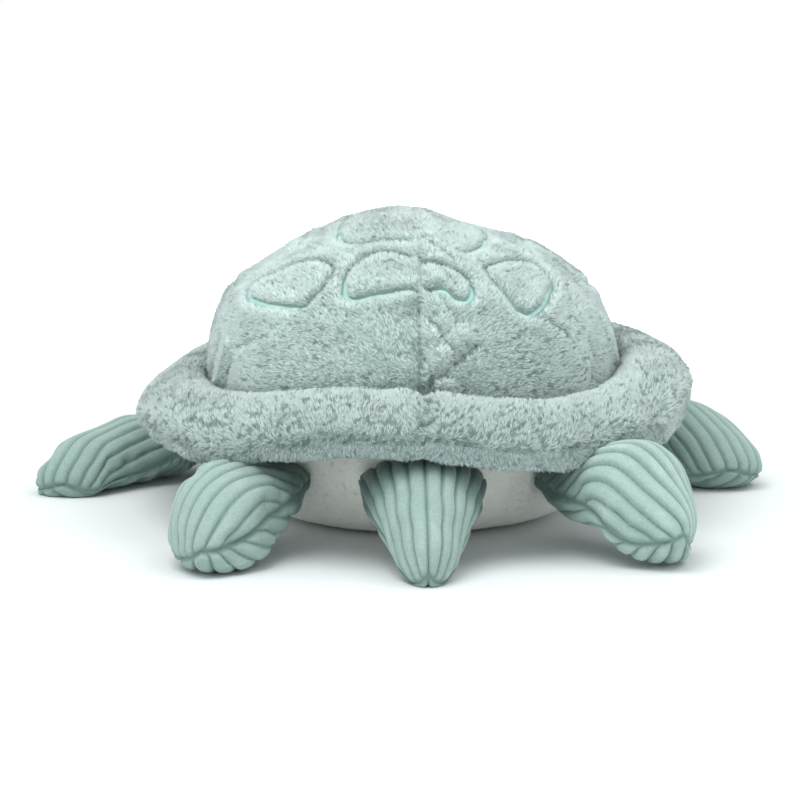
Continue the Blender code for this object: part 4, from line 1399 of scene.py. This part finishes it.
def settle(limb):
    """How far the sewn cloth of a stuffed limb wrinkles off its plain shape, over a coarse grid."""
    ring, middle, distance, panel_columns = limb.tube(CLOTH_STEP, 0.0)
    rows, columns = ring.shape[:2]
    seam = panel_columns - 1
    _, outward = grid_normals(ring, ring - middle)
    cloth = make_piece(limb.name + "_cloth", ring, tube_faces(rows, columns, outward), "cord")
    held_rows = int((distance[:, 0] < 2 * limb.shape["root_half_thickness"]).sum())
    groups = {
        "held": range(held_rows * columns),
        "sewn": [row * columns + k for row in range(rows) for k in (0, seam)],
    }
    for group, members in groups.items():
        cloth.vertex_groups.new(name=group).add(list(members), 1.0, "REPLACE")
    stuffing = cloth.modifiers.new("stuffing", "CLOTH")
    settings = stuffing.settings
    settings.quality = CLOTH_QUALITY
    settings.mass = CLOTH_MASS
    settings.tension_stiffness = settings.compression_stiffness = CLOTH_STIFFNESS
    settings.bending_stiffness = CLOTH_BENDING
    settings.use_pressure = True
    settings.uniform_pressure_force = CLOTH_PRESSURE
    settings.vertex_group_mass = "held"
    settings.vertex_group_shrink = "sewn"
    settings.shrink_max = SEAM_SHRINK
    settings.effector_weights.gravity = 0.0
    stuffing.point_cache.frame_end = CLOTH_FRAMES
    for frame in range(1, CLOTH_FRAMES + 1):
        bpy.context.scene.frame_set(frame)
    blown = cloth.evaluated_get(bpy.context.evaluated_depsgraph_get()).to_mesh()
    place = np.empty(rows * columns * 3, dtype=np.float32)
    blown.vertices.foreach_get("co", place)
    bpy.data.meshes.remove(cloth.data)
    bpy.context.scene.frame_set(1)
    moved = place.reshape(ring.shape) - ring
    # only the wrinkles are kept, as the limb's broad shape follows the toy
    moved = moved - blurred(np.concatenate([moved] * 3, axis=1), CLOTH_SPREAD)[:, columns : 2 * columns]
    moved = moved * np.clip((limb.shape["length"] - distance[:, :1, None]) / CLOTH_TIP_FADE, 0, 1)
    length = np.linalg.norm(moved, axis=2, keepdims=True)
    moved = moved * np.minimum(1, CLOTH_MOTION / np.maximum(length, 1e-9)) * limb.shape["wrinkles"]
    return {1: moved[:, : seam + 1], -1: np.concatenate((moved[:, :1], moved[:, :seam - 1 : -1]), axis=1)}


def refined(field, limb):
    """A coarse field of a panel on its fine grid."""
    rows, columns = limb.stations(CORD_STEP), limb.columns(CORD_STEP)
    coarse_rows, coarse_columns = limb.stations(CLOTH_STEP), limb.columns(CLOTH_STEP)
    longer = [[np.interp(rows, coarse_rows, field[:, j, k]) for j in range(field.shape[1])] for k in range(3)]
    fine = [[np.interp(columns, coarse_columns, row) for row in np.array(part).T] for part in longer]
    fine = np.stack([np.array(part) for part in fine], axis=2)
    # both panels keep the same edge
    k = np.arange(len(columns))
    inside = np.clip(np.minimum(k, k[::-1]) / EDGE_CELLS, 0, 1)[None, :, None]
    along = fine
    for _ in range(5):
        along = np.concatenate((along[:1], (along[:-2] + 2 * along[1:-1] + along[2:]) / 4, along[-1:]))
    return along * (1 - inside) + blurred(fine, 5) * inside


def make_panel(node, limb, facing, angle, seed, wrinkles):
    plain, centre, _ = limb.sheet(CORD_STEP, 0.0, facing)
    ridge, edge, along = wales(plain, angle)
    normals, outward = grid_normals(plain, plain - centre)
    pinch = eased(edge / SEAM_PINCH)
    creases = lumps(plain, LIMB_CREASES, seed) * np.exp(-along / ROOT_CREASE_REACH)
    puckers = lumps(plain, LIMB_PUCKERS, seed + 2) * hump(edge, SEAM_PUCKER_REACH)
    relief = WALE_HEIGHT * ridge + creases + lumps(plain, LIMB_LUMPS, seed + 1) + puckers
    relief = relief * pinch - CORD_DEPTH
    points = plain + normals * relief[..., None] + refined(wrinkles, limb)
    # the seam allowance turns in behind the edge
    inward = unit(centre - plain) * SEAM_ALLOWANCE
    before, after = ([points[:, k] + inward[:, k] * share for share in (0.5, 1.0)] for k in (0, -1))
    points = np.concatenate((np.stack(before[::-1], axis=1), points, np.stack(after, axis=1)), axis=1)
    points[..., 2] = np.maximum(points[..., 2], LOWEST_CORD)
    # Near its root the limb's colour is darkened, a painted shadow of the brim over it
    shaded = np.clip((along - ROOT_SHADE[0]) / (ROOT_SHADE[1] - ROOT_SHADE[0]), 0.05, 1)
    # The nap factor paints the wales lighter or darker for how much light falls on the limb: painted light and
    # painted shade
    mark = ridge * pinch * limb.shape["nap_and_painted_light"] * shaded - ROOT_DEPTH * (1 - shaded)
    mark = np.pad(mark, ((0, 0), (2, 2)), mode="edge").ravel()
    piece = make_sheet(node + "_cord", points, outward, "cord", marks={"ridge": mark})
    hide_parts(node)
    start, end = limb.root_span()
    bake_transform(piece)


def stuffed(name, grid, middle, body, seed):
    """A lumpy closed body of loose fibre, from rows that each run right round it."""
    away = unit(grid - middle)
    points = grid + away * lumps(grid, FIBRE_LUMPS, seed)[..., None]
    rows, columns = points.shape[:2]
    _, outward = grid_normals(points, away)
    piece = make_piece(name + "_fibre", points, tube_faces(rows, columns, outward), "fibre")
    smooth = piece.modifiers.new("rounding", "SUBSURF")
    smooth.levels = smooth.render_levels = 1
    dress(piece, body, name)


def make_limbs():
    for index, name in enumerate(LIMBS):
        limb = Limb(name)
        wrinkles = settle(limb)
        panels = ("right_panel", "left_panel") if limb.shape["upright_seam"] else ("top_panel", "under_panel")
        for panel, facing, angle in zip(panels, (1, -1), limb.shape["wale_angles"]):
            make_panel(f"{name}_{panel}", limb, facing, angle, 50 + 10 * index + facing, wrinkles[facing])
        ring, middle, _, _ = limb.tube(FILLING_STEP, LIMB_FILLING_INSET)
        stuffed(f"{name}_filling", ring, middle, name, 57 + 10 * index)


def make_shell_fillings():
    inset = BODY_FILLING_INSET
    wall = belly_grid(inset, FILLING_STEP)
    turn = np.linspace(0, 2 * math.pi, wall.shape[1], endpoint=False)
    rise = np.linspace(0, math.radians(BODY_FILLING_TOP), steps_for(BODY_FILLING_RISE, FILLING_STEP))[1:, None]
    x = (DOME_HALF_WIDTH - inset) * np.cos(rise) * np.cos(turn)
    y = (DOME_HALF_LENGTH - inset) * np.cos(rise) * np.sin(turn)
    z = SHELL_SEAM_HEIGHT + (DOME_HEIGHT - inset) * np.sin(rise) + 0 * turn
    grid = np.concatenate((wall, np.stack((x, y, z), axis=2)))
    stuffed("body_filling", grid, np.array((0, 0, SHELL_SEAM_HEIGHT)) + 0 * grid, "torso", 91)

    inset = BRIM_FILLING_INSET
    end, rows = math.radians(BRIM_FILLING_END), steps_for(BRIM_FILLING_LENGTH, FILLING_STEP)
    turn = np.linspace(-end, end, rows)[:, None]
    round_turn = np.linspace(0, 2 * math.pi, BRIM_FILLING_COLUMNS, endpoint=False)[None]
    out = inset + (BRIM_WIDTH - 2 * inset) * (1 - np.cos(round_turn)) / 2
    across = out / BRIM_WIDTH + 0 * turn
    lift = (np.where(np.sin(round_turn) > 0, BRIM_RISE, BRIM_SAG) - inset) * np.sin(round_turn)
    for side_name, side in (("left", -1), ("right", 1)):
        grid = brim_place(side, turn, out, SHELL_SEAM_HEIGHT - brim_droop(turn) * across + lift)
        grid[..., 2] += sway(grid, across)
        middle = grid.mean(axis=1, keepdims=True) + 0 * grid
        stuffed(f"brim_filling_{side_name}", grid, middle, "torso", 93 + side)


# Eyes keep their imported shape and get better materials


def dress_eyes():
    for side_name in ("left", "right"):
        for node, material in ((f"eye_{side_name}", "eye"), (f"eye_{side_name}_washer", "washer")):
            holder = bpy.data.objects[node]
            for place in holder.material_slots:
                place.material = MATERIALS[material]
            holder.data.shade_smooth()


# Studio


def aimed(name, data, place, aim):
    """An object at a place that looks at another."""
    item = bpy.data.objects.new(name, data)
    item.location = place
    item.rotation_euler = (Vector(aim) - Vector(place)).to_track_quat("-Z", "Y").to_euler()
    bpy.context.scene.collection.objects.link(item)
    return item


def make_floor():
    bpy.ops.mesh.primitive_plane_add(size=FLOOR_SIZE, location=(0, 0, 0))
    floor = bpy.context.object
    floor.name = "studio_floor"
    floor.data.materials.append(made_material("studio_floor", studio_floor))


def make_surround():
    world = bpy.context.scene.world = bpy.data.worlds.new("studio")
    world.use_nodes = True
    n = Nodes(world.node_tree)
    background = n.tree.nodes["Background"].inputs
    n.feed(background["Color"], WHITE)
    n.feed(background["Strength"], n.spread(n.seen_as_backdrop(), 0.0, 1.0, WORLD_LEVEL, 1.0))


def studio():
    make_floor()
    make_surround()
    for name, place, size, power in LAMPS:
        data = bpy.data.lights.new(name, "AREA")
        data.shape = "DISK"
        data.size = size
        data.energy = power
        aimed(name, data, place, LAMP_AIM)
    data = bpy.data.cameras.new("camera")
    data.lens = CAMERA_LENS
    data.sensor_width = CAMERA_SENSOR
    data.clip_start = 0.02
    data.clip_end = 50.0
    bpy.context.scene.camera = aimed("camera", data, CAMERA_PLACE, CAMERA_AIM)
    bpy.context.scene.view_settings.view_transform = "Standard"


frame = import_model()
MATERIALS = {
    key: made_material(build.__name__, build)
    for key, build in (
        ("fur", mint_fur),
        ("cord", mint_cord),
        ("belly", cream_plush),
        ("satin", mint_satin),
        ("fibre", fibre_filling),
        ("eye", eye_black),
        ("washer", washer_plastic),
    )
}
studio()
lines = scute_lines()
for side_name, side in (("left", -1), ("right", 1)):
    make_dome(side_name, side, [line for line, _, _ in lines.values()])
    for upward in (True, False):
        make_brim(side_name, side, upward)
for name, line in lines.items():
    make_scute(name, *line)
make_belly()
make_limbs()
make_shell_fillings()
dress_eyes()
